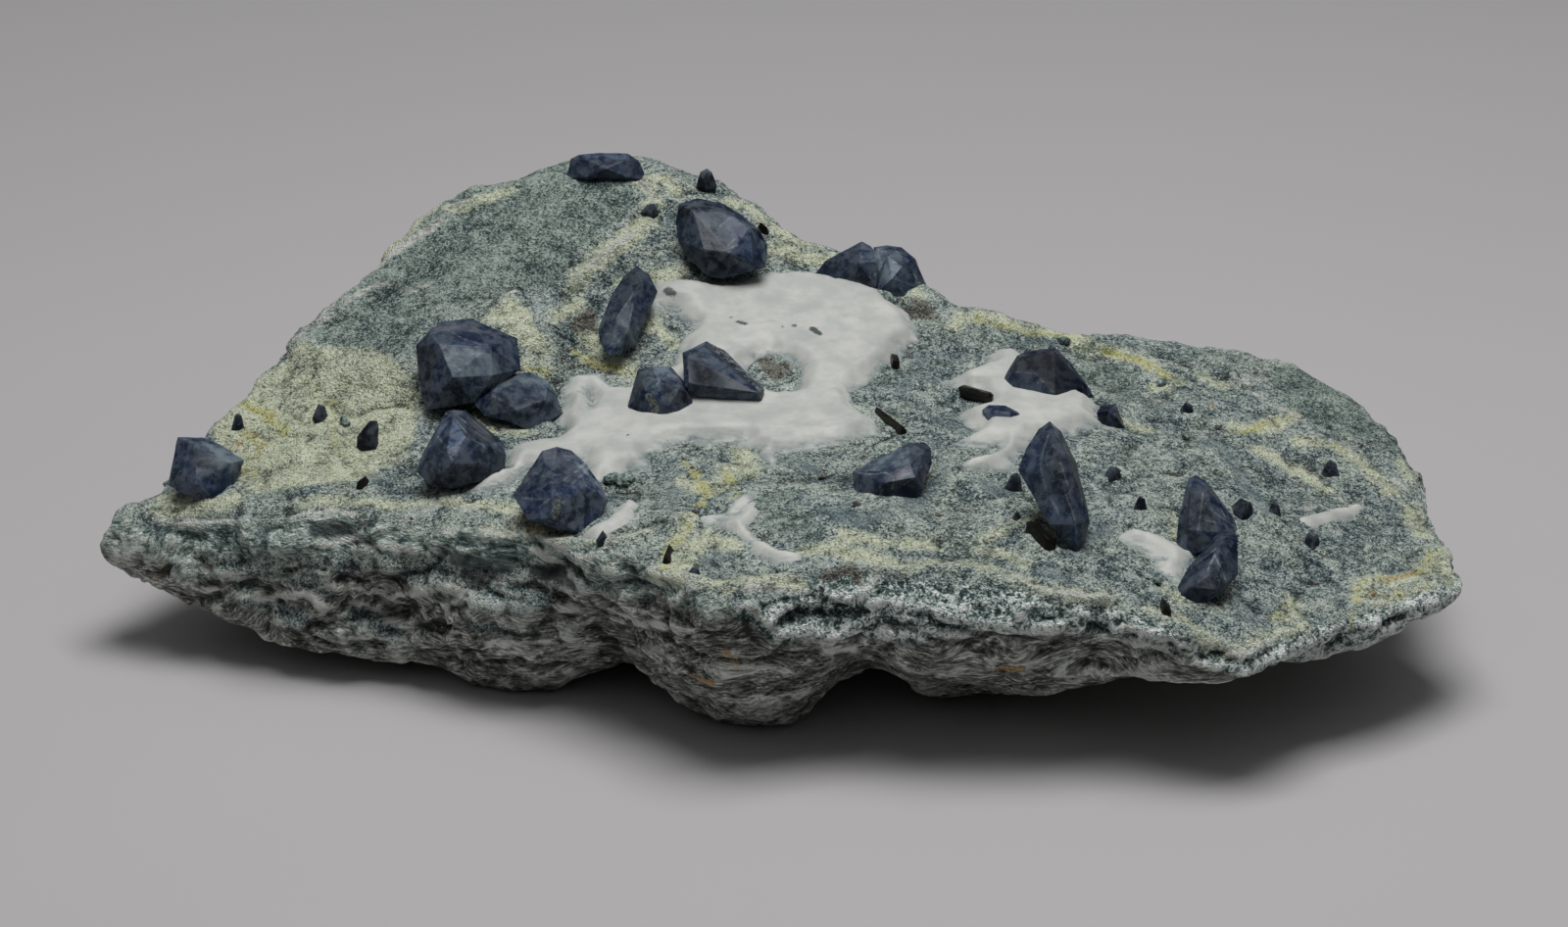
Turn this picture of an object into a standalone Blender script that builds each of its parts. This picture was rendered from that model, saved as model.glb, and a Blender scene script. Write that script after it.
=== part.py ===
# Benitoite on matrix: blue benitoite crystals, black neptunite prisms and white natrolite
# on one loose slab of blue-green rock. Metres, +Z up, millimetres in the tables below.
# The specimen rests as found on the flat spots under its lobes, with +X to the right,
# +Y away from the viewer, and the front lip of the slab towards -Y.

import math

import bmesh
import bpy
import numpy as np
from mathutils import Matrix, Vector, noise
from mathutils.bvhtree import BVHTree
from mathutils.geometry import delaunay_2d_cdt, intersect_point_line

MM = 0.001

# Driving sizes of the slab and of what it carries
RINGS_ON_FACE = 11
RINGS_ON_SIDE = 8
POINTS_AROUND = 120
ROCK_VOXEL = 2.3
ROCK_TRIANGLES = 4900
COARSE_RELIEF = 1.5
COARSE_SPAN = 17.0
COARSE_SHIFT = Vector((3.1, 7.7, 1.3))
FINE_RELIEF = 0.75
FINE_SPAN = 6.5
LAYERING = Vector((0.6, 1.0, 1.8))
LEDGE_HEIGHT = 7.0
LEDGE_DEPTH = 1.3
LEDGE_WAVE = 1.5
LEDGE_LIP = 1.4
GAP = 0.3
ROCK_GAP = 0.35
MERGE = 0.03

# The large crystals' own up direction leans away from the viewer by this much
LEAN = math.radians(25.0)
BACK_SHARE = 0.58

# The natrolite's skin: how close its points lie, and how thick it is at its edge
SKIN_POINTS = 3.4
SKIN_EDGE = 1.0
SKIN_RAMP = 3.0
SKIN_PROBE = 1.0
SKIN_RIPPLE = 0.5
SKIN_RIPPLE_SPAN = 6.0
SKIN_DEPTH = 3.0
SKIN_ROOF = 4.0

# A prism's section, right and up, and the length of its chisel end, all for a width of one
PRISM_SECTION = [(0.5, 0.0), (0.2, 0.5), (-0.45, 0.3), (-0.5, -0.3), (0.1, -0.6)]
PRISM_CHISEL = 0.35

# A small crystal's long and short corners and its cut tips, for a width of one
GRAIN_LONG = 0.55
GRAIN_SHORT = 0.42
GRAIN_TIP = 0.27
GRAIN_RISE = 0.18

# The slab's edge, clockwise seen from above, from the left tip along the back.
# Each row: upper rim x y z, lower edge x y z, how far the side bulges between them.
EDGE = [
    (-88.3, 27.5, 18.3, -85.0, 29.5, 9.0, 3.0),
    (-84.0, 31.0, 19.6, -81.5, 32.5, 8.5, 2.0),
    (-79.8, 36.5, 22.4, -76.5, 38.0, 8.0, 1.5),
    (-73.4, 48.0, 27.2, -69.5, 46.0, 9.0, 1.5),
    (-66.5, 57.5, 31.0, -63.0, 52.0, 9.0, 2.0),
    (-60.0, 66.0, 35.0, -56.0, 58.5, 9.0, 1.5),
    (-53.5, 74.5, 38.5, -50.0, 65.0, 8.0, 1.5),
    (-47.0, 80.0, 41.5, -44.0, 70.0, 7.0, 1.5),
    (-38.5, 81.5, 43.5, -37.0, 72.0, 7.0, 1.5),
    (-30.0, 86.0, 44.4, -29.0, 76.0, 8.0, 1.0),
    (-21.5, 87.5, 44.6, -21.0, 77.0, 9.0, 1.0),
    (-12.5, 85.5, 44.6, -12.0, 76.0, 9.0, 1.5),
    (-3.5, 78.5, 42.0, -5.0, 72.0, 8.0, 1.5),
    (4.0, 73.5, 38.5, 2.0, 68.0, 7.0, 2.0),
    (12.0, 72.0, 36.5, 9.0, 67.0, 8.0, 2.0),
    (18.5, 67.5, 35.0, 15.0, 63.0, 8.0, 1.5),
    (21.5, 62.5, 32.3, 20.0, 59.0, 7.0, 1.0),
    (27.0, 65.2, 32.0, 28.0, 60.0, 5.0, 2.0),
    (40.0, 63.8, 30.0, 40.0, 58.0, 5.0, 2.0),
    (53.0, 63.2, 28.0, 52.0, 57.5, 6.0, 2.0),
    (66.5, 61.5, 26.0, 64.0, 57.0, 8.0, 1.5),
    (77.0, 54.5, 24.0, 73.0, 51.0, 8.0, 1.5),
    (82.0, 44.5, 22.0, 78.0, 42.5, 8.0, 1.5),
    (83.2, 26.5, 19.6, 80.5, 26.0, 11.0, 0.8),
    (87.0, 11.0, 17.6, 84.5, 13.5, 12.8, 0.6),
    (80.0, 5.0, 18.0, 79.0, 8.0, 12.2, 0.8),
    (72.0, -0.8, 18.2, 71.0, 1.5, 12.2, 0.8),
    (62.5, -5.5, 19.0, 61.0, -5.0, 12.8, 0.8),
    (53.0, -13.5, 20.3, 53.0, -9.5, 13.0, 1.0),
    (46.0, -10.5, 22.0, 46.0, -7.5, 12.5, 1.8),
    (39.5, -7.5, 24.0, 41.0, -3.0, 11.0, 4.0),
    (31.0, -7.0, 25.0, 33.0, 2.5, 6.0, 5.0),
    (24.0, -6.0, 26.0, 26.0, 10.0, 0.4, 6.0),
    (16.0, -5.0, 26.5, 17.0, 8.0, 2.0, 6.5),
    (11.5, -4.0, 26.8, 9.5, 7.5, 7.0, 6.0),
    (7.0, -4.0, 27.0, 4.0, 5.5, 0.6, 5.5),
    (-1.0, -7.5, 27.0, -2.0, 3.5, -0.5, 4.0),
    (-7.0, -9.0, 27.0, -7.0, 4.6, -0.5, 3.0),
    (-13.5, -6.0, 27.0, -14.0, 7.0, 0.8, 3.0),
    (-20.0, 0.0, 26.8, -20.5, 10.0, 7.5, 2.0),
    (-26.0, 5.0, 26.0, -27.0, 13.0, 0.8, 1.5),
    (-34.0, 9.5, 25.2, -35.0, 12.0, -0.5, 2.0),
    (-42.0, 14.0, 24.8, -42.0, 14.0, 0.6, 2.5),
    (-50.0, 18.5, 24.2, -50.0, 15.5, 1.6, 2.5),
    (-60.0, 21.0, 23.5, -60.0, 17.0, 3.5, 2.5),
    (-70.0, 23.5, 22.5, -68.5, 18.5, 4.6, 2.5),
    (-79.0, 26.0, 20.5, -77.0, 23.5, 6.0, 2.5),
]

# Heights of the upper face inside the edge: x y z
FACE_SPOTS = [
    (-74.0, 33.0, 22.3), (-66.0, 38.0, 24.4), (-56.0, 36.0, 25.4), (-62.0, 48.0, 28.2),
    (-46.0, 30.0, 26.0), (-46.0, 48.0, 30.0), (-53.0, 62.0, 34.2), (-38.0, 66.0, 38.6),
    (-26.0, 74.0, 42.5), (-34.0, 54.0, 33.6), (-26.0, 60.0, 35.5), (-30.0, 42.0, 29.5),
    (-32.0, 22.0, 26.3), (-18.0, 30.0, 28.0), (-18.0, 46.0, 30.8), (-10.0, 64.0, 37.0),
    (-4.0, 50.0, 32.2), (4.0, 62.0, 35.2), (12.0, 52.0, 32.0), (-6.0, 14.0, 28.0),
    (6.0, 34.0, 29.3), (22.0, 46.0, 30.2), (14.0, 16.0, 28.2), (34.0, 36.0, 28.8),
    (30.0, 8.0, 26.8), (48.0, 50.0, 27.6), (46.0, 16.0, 25.6), (62.0, 36.0, 25.0),
    (60.0, 8.0, 22.0), (74.0, 22.0, 21.2), (72.0, 44.0, 23.8),
]

# Heights of the under face inside the edge: x y z. The feet stand on zero.
UNDER_SPOTS = [
    (-66.0, 34.0, 5.0), (-50.0, 30.0, 2.5), (-50.0, 50.0, 5.0), (-36.0, 19.0, -0.8),
    (-36.0, 34.0, 3.0), (-30.0, 58.0, -1.2), (-18.0, 26.0, 8.0), (-20.0, 64.0, 3.0),
    (-6.0, 14.0, -0.5), (-4.0, 28.0, 5.0), (-2.0, 50.0, 5.0), (10.0, 20.0, 8.0),
    (22.0, 18.0, -0.8), (26.0, 34.0, 5.0), (34.0, 50.0, -1.2), (46.0, 44.0, 1.5),
    (42.0, 14.0, 8.0), (56.0, 12.0, 10.5), (58.0, 36.0, 7.0), (72.0, 22.0, 11.0),
]

# The raised green slab on the upper left, and the hollow at its foot, as outlines x y
GREEN_SLAB = [
    (-70.0, 58.0), (-60.0, 47.0), (-44.0, 42.0), (-31.0, 47.0), (-28.5, 58.0),
    (-20.0, 68.0), (-14.0, 80.0), (-22.0, 92.0), (-50.0, 88.0),
]
SLAB_STEP = 2.0
SLAB_STEP_RUN = 4.0

# Lumps and hollows pushed into the rock: x y z, reach, push x y z
LUMPS = [
    (-30.0, 46.0, 30.0, 9.0, 0.0, 0.0, -1.6),
    (-18.0, 57.0, 34.0, 5.0, 0.0, 0.0, 1.0),
    (-12.0, 66.0, 37.0, 6.0, 0.0, 0.0, 1.3),
    (20.0, 66.0, 33.0, 4.0, 0.0, 0.0, 1.2),
    (24.0, 62.0, 33.0, 5.0, 0.0, 0.0, 1.3),
    (46.0, 62.0, 29.0, 7.0, 0.0, 0.0, 0.9),
    (60.0, 54.0, 26.0, 8.0, 0.0, 0.0, 0.8),
    (-60.0, 20.0, 17.0, 8.0, 0.0, -1.4, 0.0),
    (-44.0, 14.0, 18.0, 8.0, 0.0, -1.6, 0.0),
    (-52.0, 16.0, 11.0, 5.0, 0.0, 2.0, 0.0),
    (-66.0, 20.0, 11.0, 5.0, 0.0, 2.0, 0.0),
    (-36.0, 12.0, 8.0, 8.0, 0.0, -1.6, 0.0),
    (-7.0, -4.0, 14.0, 10.0, 0.0, -1.5, 0.0),
    (24.0, -2.0, 14.0, 9.0, 0.0, -1.2, 0.0),
    (10.0, 0.0, 12.0, 5.0, 0.0, 2.0, 0.0),
    (-20.0, 6.0, 13.0, 5.0, 0.0, 2.2, 0.0),
    (-6.0, -4.0, 27.0, 6.0, 0.0, 0.0, -1.2),
    (10.0, 8.0, 28.0, 7.0, 0.0, 0.0, 0.9),
    (70.0, 4.0, 20.0, 8.0, 0.0, 0.0, -0.8),
    (-20.0, 82.0, 25.0, 12.0, 0.0, -3.0, 0.0),
    (-44.0, 74.0, 20.0, 9.0, -1.5, 1.5, 0.0),
    (34.0, 61.0, 18.0, 10.0, 0.0, -2.0, 0.0),
    (58.0, 60.0, 17.0, 8.0, 0.0, 1.5, 0.0),
    (6.0, 72.0, 20.0, 9.0, 0.0, 2.0, 0.0),
    (-73.5, 26.5, 21.0, 4.0, 0.0, -0.8, 1.0),
    (-32.0, 5.0, 22.0, 4.5, 0.0, 1.6, 0.0),
    (0.0, -10.0, 20.0, 4.5, 0.0, 1.4, 0.0),
    (16.0, -8.0, 19.0, 5.0, 0.0, -1.4, 0.0),
    (38.0, -6.0, 17.0, 5.0, 0.0, 1.8, 0.0),
    (-14.0, -7.0, 19.0, 5.0, 0.0, -1.4, 0.0),
    (30.0, 2.0, 8.0, 5.0, 0.0, -1.6, 0.0),
    (-16.5, 78.5, 45.0, 2.6, 0.0, -0.4, 1.6),
]

# Large crystals, one solid each. A part has its foot's x y on the rock, how deep it runs
# behind its outline, the corners of that outline, and the corners of the faces before it,
# as right, up and near from the foot. Two parts have grown together.
CRYSTALS = {
    "benitoite_far_left": [
        ((-75.3, 29.9), 5.0,
         [(-3.4, 6.2, 0.0), (-0.3, 6.2, -1.0), (1.9, 5.3, -1.0), (5.2, 3.2, -0.5), (3.4, -0.3, 2.5),
          (2.3, -1.1, 3.5), (-2.3, -1.1, 3.5), (-4.3, 0.0, 2.5), (-3.7, 3.6, 0.5)],
         [(-1.0, 5.2, 2.5), (3.6, 2.8, 2.0), (-0.3, 0.1, 4.5)]),
    ],
    "benitoite_left_pair": [
        ((-38.6, 40.8), 5.5,
         [(-9.8, 7.6, 0.0), (-8.2, 9.3, 0.0), (-6.4, 10.8, -1.0), (-2.8, 11.2, -1.5), (0.0, 9.9, -1.0),
          (3.5, 8.6, -0.5), (4.1, 4.5, 1.0), (1.3, 2.8, 2.5), (-1.7, 0.0, 4.0), (-5.2, -0.4, 4.5),
          (-8.2, -1.0, 3.0), (-9.3, 3.5, 1.5)],
         [(-6.4, 7.7, 4.5), (0.4, 7.3, 3.5), (0.6, 3.6, 4.5), (-4.5, 3.3, 6.0), (-2.8, 8.6, 2.5)]),
        ((-38.6, 40.8), 4.5,
         [(-2.1, 0.1, 3.5), (0.0, 1.9, 2.5), (1.7, 3.6, 1.0), (5.2, 4.1, 0.5), (7.7, 2.8, 1.0),
          (8.8, 1.2, 1.5), (9.7, -1.3, 3.0), (5.8, -2.6, 5.5), (2.6, -2.4, 6.0), (-0.4, -1.7, 5.5)],
         [(0.4, 0.9, 4.8), (7.5, 0.4, 4.8), (3.9, -1.0, 6.4)]),
    ],
    "benitoite_left": [
        ((-41.5, 24.8), 5.5,
         [(-1.9, 8.1, 0.0), (-0.9, 8.3, -0.5), (0.6, 8.2, -1.0), (5.3, 4.3, -0.5), (5.9, 2.5, 0.5),
          (5.8, 0.8, 1.5), (2.8, 0.3, 3.5), (1.4, -1.0, 4.5), (-1.0, -1.8, 5.0), (-3.8, -1.3, 4.5),
          (-5.5, 0.5, 3.5), (-5.0, 2.0, 2.5), (-3.4, 5.3, 1.0)],
         [(-0.9, 7.3, 2.2), (1.0, 4.8, 5.0), (-1.3, 3.0, 6.0), (3.4, 3.8, 3.5), (-0.6, 1.3, 6.8),
          (3.0, 1.3, 4.2)]),
    ],
    "benitoite_front": [
        ((-28.0, 12.6), 5.5,
         [(-6.0, 2.3, 1.5), (-2.5, 7.9, -0.5), (-0.6, 8.4, -1.0), (1.2, 7.9, -1.0), (3.0, 6.3, -0.5),
          (4.9, 3.7, 0.5), (6.0, 1.7, 2.0), (4.7, 0.0, 3.5), (3.2, -1.6, 4.5), (-1.4, -1.5, 4.5),
          (-4.1, -0.7, 3.5)],
         [(-0.9, 3.0, 6.0), (3.1, 3.5, 4.5), (-0.9, -0.5, 6.5)]),
    ],
    "benitoite_upright": [
        ((-21.4, 51.1), 4.0,
         [(1.8, 10.4, -1.0), (3.5, 9.1, -1.0), (4.6, 6.9, -0.5), (3.4, 5.9, 0.0), (2.6, 2.3, 1.5),
          (1.6, -0.3, 2.5), (-0.1, -1.6, 4.0), (-1.8, -1.8, 4.0), (-3.0, 0.0, 3.0), (-3.3, 1.8, 2.0),
          (-1.8, 5.9, 0.5), (0.0, 9.0, -0.5)],
         [(1.3, 6.5, 2.5), (-0.8, 3.3, 4.0), (0.7, 1.3, 4.5), (2.3, 7.8, 1.5)]),
    ],
    "benitoite_round": [
        ((-16.0, 38.2), 4.5,
         [(-3.2, 5.0, -0.5), (-1.3, 5.5, -1.0), (1.2, 5.5, -1.0), (3.1, 3.3, 0.0), (4.2, 0.8, 2.0),
          (2.4, -0.6, 3.5), (0.1, -1.0, 4.0), (-2.6, -2.1, 4.0), (-4.2, -1.5, 3.0), (-4.6, -0.4, 2.0),
          (-3.6, 2.4, 0.5)],
         [(-0.4, 3.2, 4.0), (2.6, 2.7, 3.0), (-2.1, 2.2, 4.0), (0.9, 0.0, 5.0)]),
    ],
    "benitoite_striped": [
        ((-8.4, 41.5), 4.0,
         [(-4.9, 4.6, 1.5), (-1.8, 6.2, -1.0), (0.5, 5.0, -1.2), (5.3, -1.9, 0.0), (4.1, -1.4, 2.0),
          (0.0, -1.0, 4.0), (-3.1, -1.0, 4.0), (-4.6, -0.1, 4.5)],
         [(-4.2, 4.0, 3.0), (-2.2, 5.5, 0.8), (3.7, -1.2, 2.5), (-4.0, 0.5, 4.8), (0.6, 1.4, 4.2)]),
    ],
    "benitoite_upper": [
        ((-8.6, 64.5), 5.0,
         [(-3.2, 9.3, -1.0), (-5.7, 8.4, 0.0), (-6.1, 5.8, 1.0), (-5.7, 3.2, 2.0), (-4.4, 0.9, 3.0),
          (-1.7, -1.5, 4.5), (0.4, -2.0, 4.5), (3.3, -1.2, 4.0), (6.1, -0.3, 3.0), (6.4, 2.7, 1.5),
          (5.4, 4.9, 0.5), (3.3, 6.6, 0.0), (0.4, 8.5, -0.7)],
         [(-3.8, 7.3, 3.0), (0.9, 7.4, 2.0), (4.1, 5.0, 3.0), (4.4, 1.3, 4.0), (-2.3, 1.9, 5.5),
          (1.3, 1.3, 6.0)]),
    ],
    "benitoite_back_pair": [
        ((11.3, 66.1), 3.5,
         [(-8.7, 0.3, 0.0), (-5.7, 2.1, 0.0), (-3.6, 3.3, -0.5), (-0.7, 4.8, -1.0), (0.5, 4.1, -0.5),
          (1.7, 2.7, 0.0), (1.6, 0.7, 2.0), (1.1, -1.6, 3.5), (-1.7, -0.8, 3.0), (-4.7, 0.1, 2.0)],
         [(-4.0, 0.8, 2.0), (-1.2, 1.6, 3.5), (1.1, 1.9, 2.5)]),
        ((11.3, 66.1), 4.0,
         [(0.9, 4.0, -1.0), (2.7, 4.3, -1.5), (4.7, 4.0, -1.5), (6.5, 2.5, -1.0), (8.4, -0.9, 1.0),
          (5.7, -2.4, 3.0), (3.1, -2.3, 3.5), (1.1, -1.3, 3.0)],
         [(2.7, 2.7, 1.5), (4.7, 1.3, 2.5), (3.3, -0.5, 4.0)]),
    ],
    "benitoite_peak": [
        ((-24.3, 78.8), 3.0,
         [(-5.8, 0.4, 0.0), (-5.1, 1.9, 0.0), (-4.0, 2.4, 0.0), (-1.1, 2.7, 0.0), (2.8, 2.6, 0.0),
          (4.3, 1.6, 0.0), (5.7, 0.0, 0.5), (2.7, -0.8, 2.0), (-2.7, -0.8, 2.0)],
         [(-2.7, 1.6, 2.0), (2.4, 1.5, 2.0), (0.0, 0.3, 3.0)]),
    ],
    "benitoite_wedge": [
        ((35.5, 42.5), 4.0,
         [(-7.1, 1.0, 0.5), (-4.8, 4.8, -0.5), (-3.7, 5.4, -1.0), (0.3, 5.9, -1.0), (2.7, 3.5, -0.5),
          (7.4, -1.5, 0.0), (4.5, -1.5, 2.5), (-0.6, -1.3, 3.0), (-5.8, -0.3, 2.5)],
         [(-4.3, 4.5, 1.5), (0.0, 5.4, 1.2), (4.3, 0.8, 1.5), (-5.3, 1.3, 2.0), (0.0, -0.3, 4.0)]),
    ],
    "benitoite_wedge_tip": [
        ((42.7, 35.7), 2.0,
         [(-2.0, 1.1, 0.5), (-1.4, 2.0, 0.0), (0.6, 2.3, -0.3), (2.0, -0.1, 0.5), (0.4, -0.8, 1.5),
          (-0.9, -0.4, 1.5)],
         [(-0.5, 1.4, 1.5), (0.5, 0.5, 2.0)]),
    ],
    "benitoite_tall": [
        ((35.1, 6.0), 4.5,
         [(-2.0, 14.0, -1.0), (-0.5, 12.7, -1.5), (1.2, 9.1, -1.0), (2.1, 5.5, 0.0), (2.9, 1.6, 1.0),
          (2.3, -0.4, 2.0), (1.1, -1.6, 3.0), (-1.0, -0.4, 3.0), (-2.3, 1.2, 3.0), (-3.3, 4.9, 2.0),
          (-4.6, 7.2, 1.5), (-6.1, 7.9, 1.0), (-5.1, 10.4, 0.5), (-3.4, 13.0, -0.5)],
         [(-1.3, 11.7, 2.0), (-2.2, 8.5, 4.0), (0.0, 5.7, 4.0), (0.7, 1.2, 4.5), (-0.2, 10.1, 2.5)]),
    ],
    "benitoite_low": [
        ((13.6, 16.7), 4.0,
         [(-5.0, 1.6, 0.5), (-1.2, 3.3, -0.5), (2.2, 5.2, -1.0), (4.3, 5.3, -1.0), (5.0, 4.6, -0.5),
          (5.1, 2.7, 0.3), (3.8, -0.7, 3.0), (1.6, -1.6, 3.5), (-1.9, -1.9, 3.5), (-3.7, -1.1, 3.0),
          (-4.6, -0.2, 2.0)],
         [(-1.2, 1.7, 2.5), (2.2, 2.6, 3.0), (-0.9, 0.2, 4.5), (2.9, 0.9, 4.0), (4.2, 4.3, 0.8)]),
    ],
    "benitoite_right_pair": [
        ((52.5, 9.0), 4.5,
         [(-1.8, 7.6, -1.0), (-1.0, 8.2, -1.2), (0.4, 7.6, -1.2), (3.9, 2.9, -0.5), (4.3, 1.4, 0.5),
          (1.5, -0.7, 2.5), (-0.2, -1.2, 3.5), (-2.6, -1.0, 3.0), (-3.6, 0.0, 2.0), (-3.1, 2.9, 0.5)],
         [(-1.7, 6.1, 1.5), (0.5, 6.4, 1.0), (-2.2, 1.5, 3.5), (1.5, 1.1, 3.5)]),
        ((51.8, -0.3), 6.0,
         [(1.5, 5.6, -3.0), (2.7, 6.7, -3.5), (3.9, 6.8, -3.5), (4.4, 5.9, -2.0), (4.1, 1.3, 1.5),
          (1.8, -1.2, 3.5), (-1.6, -1.7, 3.5), (-4.7, -0.7, 2.0), (-1.9, 2.2, 0.5)],
         [(1.8, 4.8, 1.5), (1.5, 1.9, 4.0), (1.0, -0.5, 5.0), (-1.8, -0.2, 4.0)]),
    ],
    "benitoite_flat": [
        ((28.3, 32.6), 3.0,
         [(-2.7, 2.0, 0.5), (-1.8, 2.7, 0.0), (0.4, 2.7, -0.5), (3.1, 1.3, 0.0), (1.0, 0.5, 1.5),
          (-1.8, 0.3, 1.5)],
         [(-0.9, 1.9, 1.4), (1.0, 1.6, 1.4), (0.0, -1.0, 1.0)]),
    ],
}

# Neptunite prisms lying in the rock: x y, length, width, heading in degrees, how far the
# middle stands over the rock
PRISMS = {
    "neptunite_middle": ((25.0, 39.6), 4.8, 1.5, -20.0, 1.0),
    "neptunite_long": ((13.8, 32.6), 7.0, 1.3, -57.0, 0.3),
    "neptunite_by_tall_crystal": ((31.8, 4.6), 5.6, 1.9, -60.0, 0.4),
    "neptunite_upper": ((14.6, 47.9), 2.9, 1.3, -84.0, 0.4),
    "neptunite_front": ((-14.2, -0.5), 4.0, 1.2, -100.0, 0.3),
    "neptunite_left": ((-54.1, 25.0), 2.8, 1.0, -115.0, 0.4),
    "neptunite_right": ((45.3, -1.5), 2.4, 0.9, -41.0, 0.2),
    "neptunite_right_front": ((46.5, -6.7), 2.8, 1.5, -87.0, 0.2),
    "neptunite_back": ((-3.0, 72.8), 2.0, 1.2, -30.0, 0.3),
}

# Small crystals half sunk in the rock: x y, width, height, turn in degrees, lean in degrees
GRAINS = {
    "benitoite_small_1": ((29.2, 18.1), 2.5, 2.4, 20.0, 10.0),
    "benitoite_small_2": ((41.9, 21.7), 2.6, 1.8, 75.0, 15.0),
    "benitoite_small_3": ((44.8, 13.7), 2.1, 2.1, 40.0, 5.0),
    "benitoite_small_4": ((58.1, 16.3), 3.4, 1.9, -40.0, 20.0),
    "benitoite_small_5": ((62.4, 18.2), 2.2, 1.4, 10.0, 10.0),
    "benitoite_small_6": ((71.1, 32.4), 2.7, 2.2, 30.0, 5.0),
    "benitoite_small_7": ((66.7, 13.3), 2.6, 1.4, 85.0, 10.0),
    "benitoite_small_8": ((52.9, 41.6), 2.4, 1.7, 50.0, 15.0),
    "benitoite_small_9": ((-54.2, 34.8), 3.0, 5.2, 15.0, 22.0),
    "benitoite_small_10": ((-61.2, 41.4), 2.4, 2.5, 65.0, 10.0),
    "benitoite_small_11": ((-72.0, 41.4), 1.9, 2.2, 35.0, 5.0),
    "benitoite_small_12": ((-22.5, 4.3), 2.2, 1.5, 55.0, 20.0),
    "benitoite_small_13": ((-10.9, -5.2), 2.2, 1.4, 5.0, 20.0),
    "benitoite_small_14": ((-18.6, 72.0), 2.8, 1.8, 70.0, 10.0),
    "benitoite_small_15": ((-10.7, 79.5), 3.3, 3.4, 25.0, 0.0),
    "benitoite_small_16": ((29.1, 9.1), 2.0, 1.3, 45.0, 15.0),
}

# Natrolite skins on the rock: outline x y, thickness, and where the rock shows through
NATROLITE = {
    "natrolite_large": (
        [(-17.4, 60.5), (-13.2, 61.6), (-7.9, 62.8), (-2.0, 66.2), (2.7, 66.2), (8.0, 65.0), (13.3, 62.9),
         (16.8, 59.5), (18.2, 56.4), (18.6, 53.2), (15.4, 49.9), (12.0, 43.3), (8.7, 39.9), (9.3, 36.2),
         (11.8, 34.1), (12.7, 30.8), (7.8, 27.2), (0.0, 25.7), (-1.4, 20.6), (-3.3, 26.5), (-7.6, 28.2),
         (-10.3, 27.3), (-13.9, 28.7), (-17.4, 26.9), (-17.0, 22.3), (-20.0, 22.9), (-24.2, 20.8),
         (-26.4, 25.8), (-32.6, 24.1), (-35.0, 20.2), (-41.7, 19.9), (-38.6, 23.1), (-35.5, 24.9),
         (-35.9, 29.3), (-30.5, 32.2), (-29.1, 34.5), (-30.0, 37.4), (-28.7, 44.2), (-28.1, 46.8),
         (-24.4, 47.1), (-23.0, 44.6), (-20.4, 43.2), (-18.1, 44.4), (-14.9, 45.3), (-14.3, 48.0),
         (-12.3, 53.3), (-14.4, 55.5), (-18.1, 54.2), (-17.9, 57.7)],
        2.0,
        [(-4.8, 44.4), (-3.2, 47.0), (-1.9, 48.1), (1.0, 46.2), (1.8, 44.0), (1.5, 40.6), (-0.6, 40.7),
         (-2.6, 41.7)]),
    "natrolite_right": (
        [(20.8, 43.7), (24.0, 47.0), (27.4, 48.9), (26.8, 51.0), (29.5, 53.5), (32.1, 53.1), (35.7, 46.1),
         (39.3, 42.0), (41.4, 39.3), (40.7, 36.7), (42.1, 34.3), (38.8, 32.8), (36.1, 30.4), (32.8, 28.4),
         (30.4, 25.6), (29.8, 21.9), (26.2, 20.1), (23.0, 19.6), (21.8, 21.5), (25.1, 23.9), (27.4, 26.6),
         (23.9, 26.4), (21.4, 26.9), (25.1, 31.0), (22.7, 33.7), (22.4, 36.8), (26.3, 38.8), (23.8, 41.9)],
        2.2, None),
    "natrolite_forked": (
        [(-10.0, 8.7), (-7.1, 8.9), (-4.9, 12.5), (-3.4, 12.6), (-3.9, 8.1), (-4.6, 6.0), (-2.7, 2.6),
         (-0.6, 0.3), (2.2, -0.4), (2.2, -1.8), (0.7, -2.4), (-1.2, -2.0), (-3.9, 0.2), (-6.1, 4.6),
         (-9.2, 7.5)],
        1.2, None),
    "natrolite_by_pair": (
        [(41.5, 6.4), (43.1, 9.0), (46.5, 8.2), (50.1, 6.8), (52.1, 7.1), (48.4, -0.4), (46.2, 0.5),
         (45.9, 2.4), (43.2, 4.1)],
        1.8, None),
    "natrolite_far_right": (
        [(65.9, 17.4), (68.3, 20.5), (70.8, 23.9), (74.0, 25.7), (74.7, 25.3), (73.0, 23.1), (70.1, 19.4),
         (67.2, 16.9)],
        1.2, None),
    "natrolite_front": (
        [(-25.4, 5.8), (-24.5, 7.8), (-22.0, 8.5), (-20.7, 12.1), (-19.5, 14.8), (-18.2, 12.8),
         (-18.9, 7.8), (-20.7, 6.0), (-23.5, 4.6)],
        1.4, None),
}

COLOURS = {
    "rock": ((0.17, 0.21, 0.20), 0.9),
    "natrolite": ((0.80, 0.80, 0.76), 0.55),
    "benitoite": ((0.035, 0.06, 0.14), 0.15),
    "neptunite": ((0.012, 0.009, 0.008), 0.2),
}


def material(name):
    """Return the plain finish of one kind of mineral."""
    found = bpy.data.materials.get(name)
    if found:
        return found
    colour, roughness = COLOURS[name]
    made = bpy.data.materials.new(name)
    made.use_nodes = True
    shader = made.node_tree.nodes["Principled BSDF"]
    shader.inputs["Base Color"].default_value = (*colour, 1.0)
    shader.inputs["Roughness"].default_value = roughness
    shader.inputs["Metallic"].default_value = 0.0
    return made


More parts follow.
